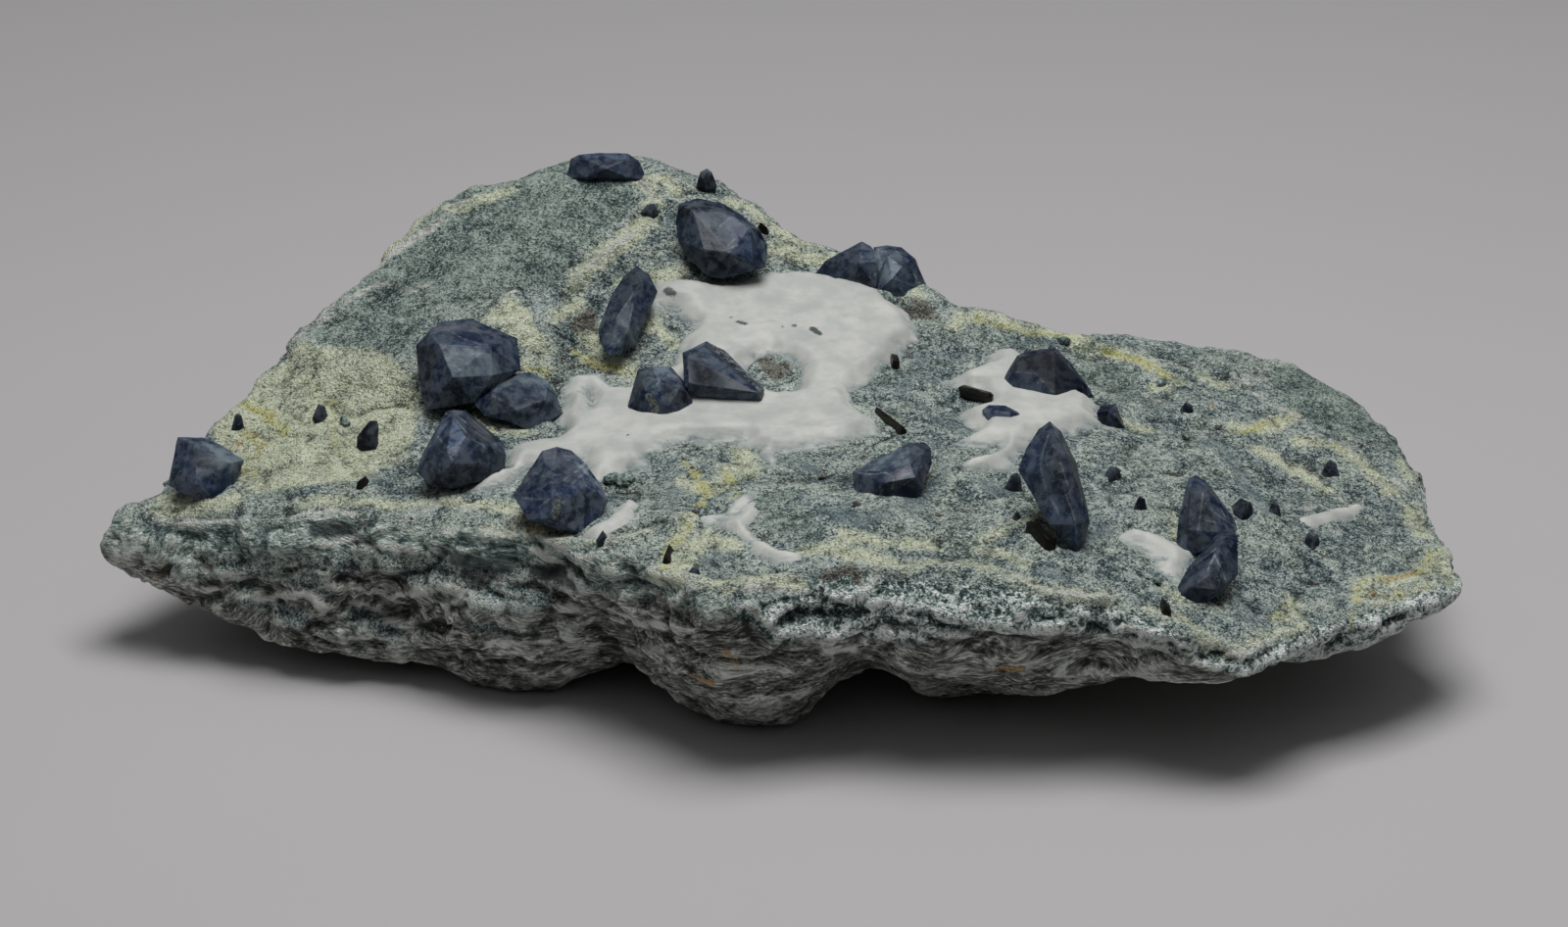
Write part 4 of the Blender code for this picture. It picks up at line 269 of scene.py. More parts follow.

# Marks on the large crystals: x y z radius along each stroke, a vein's radius only where it isn't the usual
# The lilac marks are a painted reflection of the light box, bright marks paint facets as if lit from within,
# deep marks paint facets in shade, and pale marks are the crystals' own pale zones with painted light on them
CRYSTAL_MARKS = {
    "benitoite_far_left": {
        "pale": [[(-76.6, -6.2, 27, 0.4), (-72.6, -6.6, 26.4, 0.5), (-69.2, -6.2, 24.8, 0.4)],
            [(-71.6, -8.6, 25.6, 0.9), (-69.8, -8.4, 24.4, 0.8)]],
        "deep": [[(-76.8, -10.4, 23.4, 1), (-77.2, -7.8, 25.2, 0.4)], [(-74.8, -10, 25.2, 0.6)]],
        "bright": [[(-73.6, -11, 24.2, 0.9), (-72.2, -11.2, 23.2, 0.6)], [(-75.8, -8.6, 25.8, 0.5),
            (-74.8, -10.2, 24.8, 0.5)]],
    },
    "benitoite_left_pair": {
        "lilac": [[(-43.8, 6.6, 37.4, 0.8), (-40.2, 7, 37.6, 0.8), (-36, 6.4, 36.6, 0.8)]],
        "pale": [[(-42, 0.4, 35.2, 1.1), (-39.2, 1, 35.2, 1.7), (-36.4, 0.6, 33.6, 1.2)],
            [(-36, 1.2, 32.8, 0.8), (-32.4, 3, 32, 0.9), (-29.6, 2.6, 31.4, 0.8)]],
        "bright": [[(-39, 2.4, 36.6, 1), (-36.8, 3.6, 36.6, 0.8)], [(-40.8, 2.6, 37, 0.5)]],
        "deep": [[(-45.4, 5, 36.2, 0.8), (-45, 2.2, 33.2, 1.2), (-44.6, 0.2, 30.2, 1)], [(-42, -1, 31.2, 1.3),
            (-40.6, -0.8, 30.4, 0.9)], [(-36.6, -0.8, 31.2, 0.9), (-32.8, -2, 30.6, 0.9),
            (-28.8, -0.6, 30.2, 0.8)], [(-36, -2.4, 30, 0.4), (-31.6, -2.8, 29.4, 0.4)]],
        "vein": [[(-42.2, 5.8, 37.6), (-40.6, 4.2, 37.2), (-38, 3.2, 36.8)], [(-42.8, 1.2, 36.2),
            (-40.6, 0, 34.6), (-39.2, -0.4, 32.8), (-38, -0.2, 32)], [(-38, -0.2, 32), (-36.2, 1, 32.6)]],
    },
    "benitoite_left": {
        "bright": [[(-42, -12.4, 31.8, 0.9), (-40.4, -14.4, 32.2, 1.1), (-39.4, -16.4, 31.4, 0.9)],
            [(-35.8, -15, 28.6, 0.6)]],
        "lilac": [[(-41, -9.2, 33, 0.4), (-38.8, -10.4, 32.2, 0.6), (-37, -11.4, 31, 0.8),
            (-35.4, -12.8, 29.6, 0.5)]],
        "deep": [[(-43.8, -15.8, 29, 0.9), (-42.4, -17.8, 27.8, 1.1), (-40, -18, 27.2, 1)],
            [(-37.8, -16.8, 28, 1), (-36.8, -15.2, 29.8, 0.7)], [(-39.4, -17.8, 29.6, 0.5)]],
        "vein": [[(-41.8, -9.8, 32.8), (-40, -12.6, 32.8), (-38.2, -15, 31.8), (-36.4, -14.6, 30.2)],
            [(-42.6, -13, 31), (-41.2, -16.4, 31), (-40.6, -17.8, 30.2)], [(-40.2, -10.8, 33),
            (-38.2, -12.4, 31.8), (-36.4, -13, 30.4)], [(-39.6, -9.4, 32.8), (-37.6, -10.4, 31.4),
            (-35.6, -11.6, 30)]],
    },
    "benitoite_front": {
        "lilac": [[(-29, -22.4, 32.4, 0.7), (-27, -22, 32.8, 0.7), (-25.4, -22.4, 32.4, 0.6)],
            [(-30.6, -24.6, 30.4, 0.6), (-29.8, -24.2, 31.2, 0.5)]],
        "pale": [[(-24, -24, 31.6, 0.7), (-22.4, -24.6, 30.4, 0.9)], [(-26.6, -29, 31.2, 0.5)]],
        "deep": [[(-28.4, -25.2, 31.8, 0.6), (-26.8, -25.4, 32, 0.7), (-25, -24.8, 31.8, 0.6)],
            [(-26.2, -30.2, 29.2, 1), (-23.8, -29, 28.6, 1.3), (-22.2, -27.6, 29.2, 1)],
            [(-27.6, -30.8, 27.8, 0.5), (-24, -29.8, 27.2, 0.7)]],
        "bright": [[(-29.6, -27.2, 30.2, 0.6), (-26.6, -29.2, 30.8, 0.5), (-23.8, -27.4, 31.2, 0.5)],
            [(-30.8, -27.4, 28.4, 0.6), (-29.2, -28.6, 29, 0.7), (-28, -29, 30.2, 0.5)],
            [(-28.6, -29.8, 28.2, 0.7)]],
        "vein": [[(-29.2, -27.6, 30.4), (-28.2, -27.8, 31), (-25.8, -27, 31.4), (-24.2, -24.8, 31.8),
            (-23.4, -22, 31.4)], [(-31.2, -26.6, 28.8), (-28.6, -28.8, 29.6), (-26.6, -29.4, 30.6)],
            [(-24.8, -27.6, 31.2), (-23.8, -25.8, 31.4), (-23, -22.6, 31)], [(-28.8, -29.2, 28.8),
            (-27.6, -29.6, 30), (-25.8, -29.6, 29.6)], [(-29.8, -24.2, 31.2), (-27.8, -26.8, 31.8),
            (-26.2, -26, 31.8)]],
        "chip": [[(-26.4, -29.6, 30.2, 0.3), (-26.6, -30.4, 29, 0.5), (-26.8, -31, 28.2, 0.4)]],
    },
    "benitoite_upright": {
        "deep": [[(-19.2, 17, 40.4, 0.9), (-17.6, 15.4, 40.2, 1.2), (-16.4, 15.6, 39.2, 0.5)],
            [(-22.2, 12.2, 36, 0.5), (-21.2, 13.4, 37.6, 0.5)]],
        "pale": [[(-19.4, 12, 37.8, 0.6), (-18.8, 10.4, 36, 0.5), (-18.4, 10.8, 33.4, 0.5)],
            [(-21.4, 10.4, 35, 0.6), (-20.2, 9.4, 34.2, 0.5)]],
        "bright": [[(-22.2, 10.2, 33.8, 0.6), (-21.2, 9.2, 33.2, 0.5)]],
        "vein": [[(-20.2, 12.6, 38), (-19.6, 10.8, 36.6), (-19, 10, 34.8), (-19.2, 9.8, 33.2)],
            [(-18.4, 13.2, 38.6), (-18.8, 11.2, 36.8), (-17.6, 12.2, 35)], [(-22.6, 11.4, 34.6),
            (-21.2, 10.4, 35.2), (-19.8, 9.4, 34.2)], [(-21.4, 11.2, 36), (-20.6, 10, 34.8),
            (-20.8, 9.4, 33.6)]],
    },
    "benitoite_round": {
        "pale": [[(-15.8, 2.6, 33.4, 0.8), (-14, 2, 33.6, 0.8), (-12.6, 1, 33.2, 0.5)],
            [(-16.4, -1.2, 32.8, 0.8), (-15, -1.8, 33.4, 0.8)]],
        "deep": [[(-12.8, -2.4, 32.2, 1), (-11.2, -1.6, 31.2, 0.8)], [(-18, -2.4, 30, 0.6),
            (-17.2, -2.4, 31.2, 0.4)], [(-13.6, -3.8, 30.4, 0.6)]],
        "vein": [[(-16.2, 0.4, 33.4), (-14.6, -1.2, 33.6), (-13.4, 0.8, 33.4)], [(-16.8, -1.4, 32.4),
            (-15.4, -2.4, 32.6)]],
        "chip": [[(-16, -2.6, 32, 0.5), (-15.2, -3.4, 31, 0.6), (-14.8, -3.8, 29.6, 0.5)]],
    },
    "benitoite_striped": {
        "deep": [[(-9.6, 3, 35, 1), (-8.8, 0.4, 33.4, 1.3), (-6.6, 0, 31.8, 0.8)], [(-10.4, -0.2, 31.6, 0.5)]],
        "bright": [[(-8.4, 0.2, 33, 0.5)]],
        "band": [[(-7.2, 6.9, 35, 1), (-4, 3.4, 33.4, 0.9), (-1.2, -0.4, 31.9, 0.6)]],
        "vein": [[(-8.2, 6.2, 35.2), (-5, 2.8, 32.6), (-3.2, 1.4, 30.6)], [(-7.4, 5.2, 34.8, 0.2),
            (-7, 5, 34.6)], [(-6, 4.2, 33.6, 0.2), (-5.8, 4, 33.4)], [(-4.6, 3.6, 32.2), (-4.4, 3.2, 32)]],
    },
    "benitoite_upper": {
        "bright": [[(-5.2, 26.4, 44.6, 1.1), (-3.6, 25, 43.4, 1.5), (-3, 23.8, 41.6, 1.1)]],
        "deep": [[(-11.4, 28, 45.8, 1.2), (-8.2, 28.6, 45.8, 1.1)], [(-7.8, 22.2, 41, 1.3),
            (-5.6, 22, 40, 0.8)], [(-12, 26.6, 43.4, 0.5)]],
        "vein": [[(-7, 25.6, 44.4), (-5.6, 27.2, 45)], [(-8.8, 23.2, 42.6), (-6.4, 22.4, 42.2),
            (-4.6, 23.4, 42.6)], [(-5.6, 22, 41.4), (-4.2, 22.6, 40.4)], [(-6, 22.8, 42.6), (-5, 24.2, 43.2)]],
    },
    "benitoite_back_pair": {
        "pale": [[(15, 29.2, 39, 0.7), (15.4, 27, 38.2, 0.8), (16.4, 25.2, 37.4, 0.5)], [(17, 29.6, 38.8, 0.5),
            (18.6, 28.6, 38, 0.5)]],
        "deep": [[(10.6, 25.6, 36.8, 0.8), (14, 24.6, 36.2, 0.9)], [(8.2, 27.8, 38, 0.8),
            (10.6, 28.2, 39, 0.8)]],
        "bright": [[(16.8, 24.6, 36.6, 0.7)]],
        "chip": [[(19.8, 27.2, 36.8, 0.5), (20.2, 26.6, 35.8, 0.7)]],
        "vein": [[(13.8, 25.6, 37.2), (15.4, 26.6, 37.8)], [(16.4, 24.6, 36.8), (17.6, 25.8, 37.4)],
            [(14.4, 30.4, 39.2), (15, 26.8, 37.6)], [(12.2, 27.6, 39.2), (14, 25.8, 37.4)]],
    },
    "benitoite_peak": {
        "bright": [[(-25.6, 41.6, 48.4, 0.5), (-22.4, 41, 48.6, 0.5), (-19.2, 41.4, 48, 0.4)]],
        "deep": [[(-28.2, 41.4, 47, 0.7)], [(-25.2, 39.4, 47.4, 0.4), (-18.6, 40.2, 47.2, 0.4)]],
    },
    "benitoite_wedge": {
        "deep": [[(32.6, 4.6, 33, 1.2), (35.8, 4.4, 33.4, 1.3), (38.2, 3.4, 32, 1)], [(39.6, 2.8, 30.8, 0.6)]],
        "vein": [[(32, 4.4, 32.4), (35, 3.4, 32.4)], [(38.4, 7.4, 33.4), (41, 3.2, 30.4)]],
    },
    "benitoite_wedge_tip": {
        "deep": [[(43.2, -2.4, 29.6, 0.5)]],
        "pale": [[(44.2, -3.2, 29.6, 0.5)]],
    },
    "benitoite_tall": {
        "bright": [[(33, -27.6, 36.8, 0.7), (32.6, -30, 35.2, 0.8), (31.4, -29.8, 33.6, 0.5)],
            [(37, -35, 29.6, 0.8), (37.6, -35.2, 27.8, 0.8)], [(34.4, -33, 31.4, 0.7),
            (35.6, -34.2, 29.4, 0.7)]],
        "deep": [[(34.8, -29.6, 37, 0.6), (35.2, -31.8, 35, 1.1), (36.2, -33.2, 33, 0.8)],
            [(38, -28.6, 33.6, 0.5)], [(38.2, -32.4, 30.6, 0.6)]],
        "vein": [[(34.6, -27, 38), (33.8, -29, 36.6), (33.4, -31, 35), (34.2, -32.4, 32.4), (35.4, -33.8, 30.6),
            (37.2, -35, 27)], [(35.2, -26.6, 38), (37, -28.8, 36), (37.8, -30.4, 33), (36.8, -33.2, 32.6),
            (35.4, -33.6, 30.8)], [(35, -29.2, 37.2), (36, -31.2, 35.2), (36.8, -32.8, 33.4)],
            [(36.4, -33.4, 32.4), (37.4, -34.6, 30.4), (37.8, -35, 27.8)], [(38.4, -30.6, 31.8),
            (38.6, -32.4, 29.6), (38.2, -34.6, 27.6)], [(35.2, -25.2, 38.2, 0.2), (35.6, -25.8, 37.6)]],
    },
    "benitoite_low": {
        "pale": [[(13, -21, 30.6, 0.6), (16.6, -19.8, 31.8, 0.9), (19.2, -20, 32.2, 0.6)],
            [(14.6, -20.4, 31.2, 0.6), (17, -22.2, 31.6, 0.6)]],
        "lilac": [[(15.4, -24.4, 30.4, 0.5), (16.6, -23.6, 31, 0.5)], [(19.4, -21.4, 30.8, 0.5),
            (19.2, -23, 29.6, 0.5)]],
        "deep": [[(12.2, -24, 29, 0.6), (14.6, -25, 29.6, 0.7), (15.4, -24.4, 30.4, 0.5)],
            [(17.2, -24.6, 29.4, 0.7), (18.4, -24.2, 29.6, 0.6)]],
        "vein": [[(14.4, -23, 30.6), (15.6, -24.4, 30.4), (17, -24, 30.8), (18.2, -23.2, 31)],
            [(15.2, -25, 29.2), (15.4, -24.6, 30.4)], [(17.6, -23.4, 31.2), (19, -22.2, 31)],
            [(16.6, -24.6, 29.6), (17.8, -24.4, 30.4)], [(10.8, -21.2, 29.8), (12.8, -22.6, 30.2),
            (14.4, -23, 30.6)]],
    },
    "benitoite_right_pair": {
        "bright": [[(53.4, -25.8, 30.4, 0.7), (54.6, -26.4, 30, 0.5)], [(51, -30.2, 25.6, 0.7),
            (51.6, -31.6, 25.2, 0.6)], [(51.4, -40.2, 24.2, 0.6), (52.8, -39.4, 25.2, 0.6)]],
        "deep": [[(53, -28.4, 29.2, 1), (54.4, -30.2, 27.6, 1.1)], [(55.2, -39.8, 26.2, 1.1),
            (53.8, -42.2, 24.2, 1)], [(56.4, -35.6, 27.2, 0.7)]],
        "pale": [[(55.2, -32.8, 26.4, 0.5), (53.8, -32, 25, 0.5)]],
        "vein": [[(52.4, -26.8, 30), (55.2, -29.2, 28), (58.2, -28.4, 25.6)], [(51.8, -27.8, 28.6),
            (54.4, -31.4, 26.4), (55.2, -34.6, 26.8)], [(54, -25.8, 30.4), (56.8, -28.4, 27)],
            [(51.2, -27.8, 27), (53.4, -31.6, 25.8)], [(52, -29.8, 27.6), (55.4, -30.4, 27.2)],
            [(58.2, -28.6, 25.4), (54.8, -37.4, 27), (52, -37.8, 24.8), (50, -39.2, 23.6)],
            [(54.4, -37.6, 26.8), (55, -40, 26.2), (55.8, -40.8, 24.4)], [(54.6, -38.4, 26.6),
            (53.6, -40.2, 25.4)], [(50.8, -29.8, 25.4), (51.4, -31.6, 24.4)], [(54, -27.4, 29.8),
            (53.2, -31.2, 26.6)]],
    },
    "benitoite_flat": {
        "bright": [[(28.2, -5.6, 30.6, 0.5), (30.2, -6, 30.4, 0.5)]],
        "vein": [[(27.6, -5, 30.8), (31.4, -5.6, 30.6)]],
    },
}

# Corners that widen a crystal's own: the striped one's long bevel runs down to the right
ADDED_CORNERS = {
    "benitoite_striped": [(-1.7, -1.5, 32.0), (-1.3, -1.0, 30.4), (-0.9, 0.3, 31.7), (-1.0, 0.6, 30.4)],
}

# How far a mark's border fades, in millimetres, on the rock and on the crystals
SOFT = {"green": 1.2, "cream": 1.6, "yellow": 0.9, "orange": 0.6, "white": 0.7, "smear": 1.8, "dark": 0.8,
        "lens": 0.6}
CRYSTAL_SOFT = {"pale": 1.0, "lilac": 0.7, "bright": 0.8, "deep": 0.8, "vein": 0.24, "band": 0.3, "chip": 0.3}

# Marks that also fill whole facets, painting light and shade facet by facet, how much darker than the others
# some crystals are, and a vein's radius
FACET_TONES = ("pale", "lilac", "bright", "deep")
CRYSTAL_DEPTH = {"benitoite_front": -0.35, "benitoite_wedge": 0.5, "benitoite_wedge_tip": 0.5,
                 "benitoite_tall": 0.25, "benitoite_right_pair": 0.3, "benitoite_upper": 0.3,
                 "benitoite_low": 0.2}
VEIN_RADIUS = 0.1

# The crystals' meshes, in millimetres: the grain of each kind, the worn edges, the small ones' share of the
# large ones' sinking, how far the prisms are sunk, and how near the rock a corner belongs to the foot
LARGE_GRAIN, SMALL_GRAIN, PRISM_GRAIN = 0.38, 0.8, 1.2
SMALL_EDGE, PRISM_EDGE = 0.08, 0.07
SMALL_SHARE, PRISM_SINK, FOOT_REACH = 0.6, 0.7, 0.8

# Angles between facets: up to the first they are one facet, above the others an edge is worn or shaded sharp
FLAT_ANGLE, WORN_ANGLE, SHADE_ANGLE = math.radians(2.0), math.radians(18.0), math.radians(14.0)

# The natrolite's skin, in millimetres: how far its grid and the skin itself run on past the outline, how far
# the border lies below the smooth rock, and how thick the skin is
GRID_MARGIN, SKIN_MARGIN, SKIN_SUNK, SKIN_THICKNESS = 1.5, 1.4, 0.4, 1.4

# Where rays start that look for the rock's upper face and its front, in millimetres
RAY_HEIGHT, RAY_FRONT = 90.0, -90.0

# The studio, in metres: the light box over the specimen, the sky from low to high, and where the camera looks
BOX_SIZE, BOX_PLACE, BOX_TARGET = (0.36, 0.30), (0.03, -0.03, 0.60), (0.02, -0.01, 0.0)
SKY_COLOUR, SKY_RISE, SKY_LOW = (0.95, 0.97, 1.0), (0.25, 0.95), 0.015
LOOK_AT = (0.00165, 0.0003, 0.021)
FLOOR_REACH_MM = 6000.0

# Ramps of the rock's minerals, dark grains first: stop and colour
GROUND = ((0.20, (0.021, 0.035, 0.039)), (0.38, (0.089, 0.133, 0.142)), (0.50, (0.173, 0.232, 0.236)),
          (0.64, (0.315, 0.379, 0.360)), (0.84, (0.567, 0.627, 0.578)))
WARM = ((0.20, (0.031, 0.040, 0.039)), (0.38, (0.117, 0.150, 0.140)), (0.50, (0.209, 0.251, 0.225)),
        (0.64, (0.357, 0.410, 0.357)), (0.84, (0.592, 0.661, 0.597)))
GREEN = ((0.20, (0.025, 0.043, 0.041)), (0.38, (0.082, 0.123, 0.117)), (0.52, (0.170, 0.227, 0.207)),
         (0.68, (0.278, 0.348, 0.313)), (0.86, (0.453, 0.524, 0.464)))
CREAM = ((0.14, (0.146, 0.170, 0.118)), (0.34, (0.370, 0.409, 0.271)), (0.52, (0.560, 0.597, 0.419)),
         (0.76, (0.762, 0.796, 0.625)))
LIP = ((0.22, (0.036, 0.059, 0.057)), (0.40, (0.133, 0.190, 0.179)), (0.56, (0.261, 0.339, 0.315)),
       (0.70, (0.484, 0.564, 0.512)), (0.86, (0.774, 0.842, 0.752)))
GOLD = ((0.16, (0.160, 0.155, 0.060)), (0.42, (0.430, 0.425, 0.150)), (0.66, (0.660, 0.655, 0.310)))
# The front band's ramp, run up to near white: its granular colour with painted light on it
BAND_AND_PAINTED_LIGHT = ((0.22, (0.036, 0.057, 0.060)), (0.42, (0.146, 0.212, 0.203)), (0.55, (0.334, 0.423, 0.397)),
        (0.70, (0.683, 0.770, 0.710)), (0.88, (0.980, 1.000, 0.990)))
FIBRE = ((0.26, (0.032, 0.031, 0.030)), (0.42, (0.121, 0.123, 0.113)), (0.56, (0.213, 0.218, 0.197)),
         (0.70, (0.383, 0.402, 0.363)), (0.88, (0.737, 0.788, 0.710)))
LENS = ((0.25, (0.035, 0.048, 0.050)), (0.50, (0.090, 0.120, 0.118)), (0.78, (0.200, 0.235, 0.220)))
CHALK = ((0.20, (0.260, 0.275, 0.250)), (0.46, (0.500, 0.515, 0.465)), (0.70, (0.720, 0.730, 0.680)))
BROWN = ((0.25, (0.032, 0.031, 0.027)), (0.50, (0.098, 0.096, 0.081)), (0.78, (0.270, 0.266, 0.225)))
RUST = ((0.25, (0.160, 0.075, 0.025)), (0.50, (0.380, 0.215, 0.075)), (0.75, (0.560, 0.400, 0.190)))


class RockSettings(bpy.types.PropertyGroup):
    """The slab's mesh"""
    grain: FloatProperty(name="Mesh grain", description="Spacing of the slab's fine mesh", default=0.00056,
                         min=0.0004, max=0.003, unit="LENGTH")
    relief: FloatProperty(name="Relief", description="Share of the rough relief that is pushed in", default=1.0,
                          min=0.0, max=2.0, subtype="FACTOR")
    faces: IntProperty(name="Most triangles", description="The slab is thinned to this many", default=196000)


class NatroliteSettings(bpy.types.PropertyGroup):
    """The white skin"""
    spacing: FloatProperty(name="Spacing", description="Spacing of the skin's mesh", default=0.00045,
                           min=0.0002, max=0.003, unit="LENGTH")
    white: FloatVectorProperty(name="White", description="The milky white", subtype="COLOR",
                               default=(0.615, 0.615, 0.575), min=0.0, max=1.0)


class CrystalSettings(bpy.types.PropertyGroup):
    """The benitoite and the neptunite"""
    edge: FloatProperty(name="Edge", description="How far the crystals' edges are worn", default=0.00014,
                        min=0.0, max=0.001, unit="LENGTH")
    sink: FloatProperty(name="Sunk by", description="How far the crystals' feet run on into the rock",
                        default=0.0013, min=0.0, max=0.004, unit="LENGTH")
    blue: FloatVectorProperty(name="Blue", description="The benitoite's dark blue", subtype="COLOR",
                              default=(0.012, 0.022, 0.055), min=0.0, max=1.0)
    black: FloatVectorProperty(name="Black", description="The neptunite's brown black", subtype="COLOR",
                               default=(0.005, 0.0042, 0.0036), min=0.0, max=1.0)


class StageSettings(bpy.types.PropertyGroup):
    """The camera, the floor and the light"""
    distance: FloatProperty(name="Distance", description="From the lens to the specimen", default=0.573,
                            unit="LENGTH")
    height: FloatProperty(name="Height", description="How far above level the camera looks from",
                          default=math.radians(25.0), subtype="ANGLE")
    lens: FloatProperty(name="Lens", description="Focal length", default=100.0, unit="CAMERA")
    floor: FloatVectorProperty(name="Floor", description="The floor's pale gray", subtype="COLOR",
                               default=(0.50, 0.485, 0.49), min=0.0, max=1.0)
    power: FloatProperty(name="Light box", description="The power of the light box", default=2.75, min=0.0,
                         unit="POWER")
    sky: FloatProperty(name="Sky", description="How bright the studio is overhead", default=0.26, min=0.0)


class Value:
    """A shader socket that can be written in sums."""

    def __init__(self, wires, socket):
        self.wires = wires
        self.socket = socket

    def maths(self, operation, *terms):
        """One step of arithmetic."""
        return self.wires.node("ShaderNodeMath", {"operation": operation}, dict(enumerate(terms)))

    def __add__(self, other):
        return self.maths("ADD", self, other)

    def __sub__(self, other):
        return self.maths("SUBTRACT", self, other)

    def __rsub__(self, other):
        return self.maths("SUBTRACT", other, self)

    def __mul__(self, other):
        return self.maths("MULTIPLY", self, other)

    def most(self, other):
        """The larger of two values."""
        return self.maths("MAXIMUM", self, other)

    def least(self, other):
        """The smaller of two values."""
        return self.maths("MINIMUM", self, other)

    __radd__ = __add__
    __rmul__ = __mul__


class Wires:
    """The nodes of one material, or of the sky, written as expressions."""

    def __init__(self, owner, place="Object"):
        owner.use_nodes = True
        self.owner = owner
        self.tree = owner.node_tree
        self.tree.nodes.clear()
        self.place = self.node("ShaderNodeTexCoord", out=place)

    def node(self, kind, settings=None, sockets=None, out=0):
        """One node: its settings first, then its sockets' values and links."""
        made = self.tree.nodes.new(kind)
        for key, value in (settings or {}).items():
            if key == "stops":
                ramp = made.color_ramp
                while len(ramp.elements) < len(value):
                    ramp.elements.new(0.5)
                for element, (position, colour) in zip(ramp.elements, value):
                    element.position = position
                    element.color = (*colour, 1.0)
            else:
                setattr(made, key, value)
        for key, value in (sockets or {}).items():
            socket = made.inputs[key]
            if isinstance(value, Value):
                self.tree.links.new(value.socket, socket)
            else:
                socket.default_value = (*value, 1.0) if socket.type == "RGBA" else value
        return Value(self, made.outputs[out]) if made.outputs else None

    def shifted(self, offset, stretch=(1.0, 1.0, 1.0), turn=(0.0, 0.0, 0.0)):
        """Object coordinates moved by an offset in metres, stretched and turned."""
        return self.node("ShaderNodeMapping", None,
                         {"Vector": self.place, "Location": offset, "Rotation": turn, "Scale": stretch})

    def noise(self, size, seed=0.0, detail=2.0, roughness=0.5, distortion=0.0, where=None):
        """Noise from 0 to 1 with lumps of a size in millimetres."""
        where = where or self.shifted((seed, seed * 0.37, -seed * 0.71))
        return self.node("ShaderNodeTexNoise", None,
                         {"Vector": where, "Scale": TO_MM / size, "Detail": detail, "Roughness": roughness,
                          "Distortion": distortion})

    def mark(self, name):
        """A painted attribute."""
        return self.node("ShaderNodeAttribute", {"attribute_name": name}, None, "Fac")

    def smooth(self, value, low, high):
        """0 below low, 1 above high, eased between."""
        return self.node("ShaderNodeMapRange", {"interpolation_type": "SMOOTHSTEP"},
                         {"Value": value, "From Min": low, "From Max": high})

    def mix(self, share, first, second):
        """A colour between two."""
        return self.node("ShaderNodeMix", {"data_type": "RGBA"}, {0: share, 6: first, 7: second}, 2)

    def shade(self, colour, factor):
        """A colour made lighter or darker by a value."""
        return self.node("ShaderNodeVectorMath", {"operation": "SCALE"}, {0: colour, "Scale": factor})

    def bump(self, height, depth, strength=1.0):
        """A normal from a height in 0 to 1 that stands for a depth in millimetres."""
        return self.node("ShaderNodeBump", None,
                         {"Height": height, "Distance": depth * MM, "Strength": strength})

    def finish(self, **sockets):
        """The surface itself."""
        surface = self.node("ShaderNodeBsdfPrincipled", None,
                            {key.replace("_", " "): value for key, value in sockets.items()})
        self.node("ShaderNodeOutputMaterial", None, {"Surface": surface})
        return self.owner


def material_wires(name):
    """The wires of a new material."""
    return Wires(bpy.data.materials.new(name))


def settings():
    """The sizes and colours that a user may change."""
    return bpy.context.scene.specimen


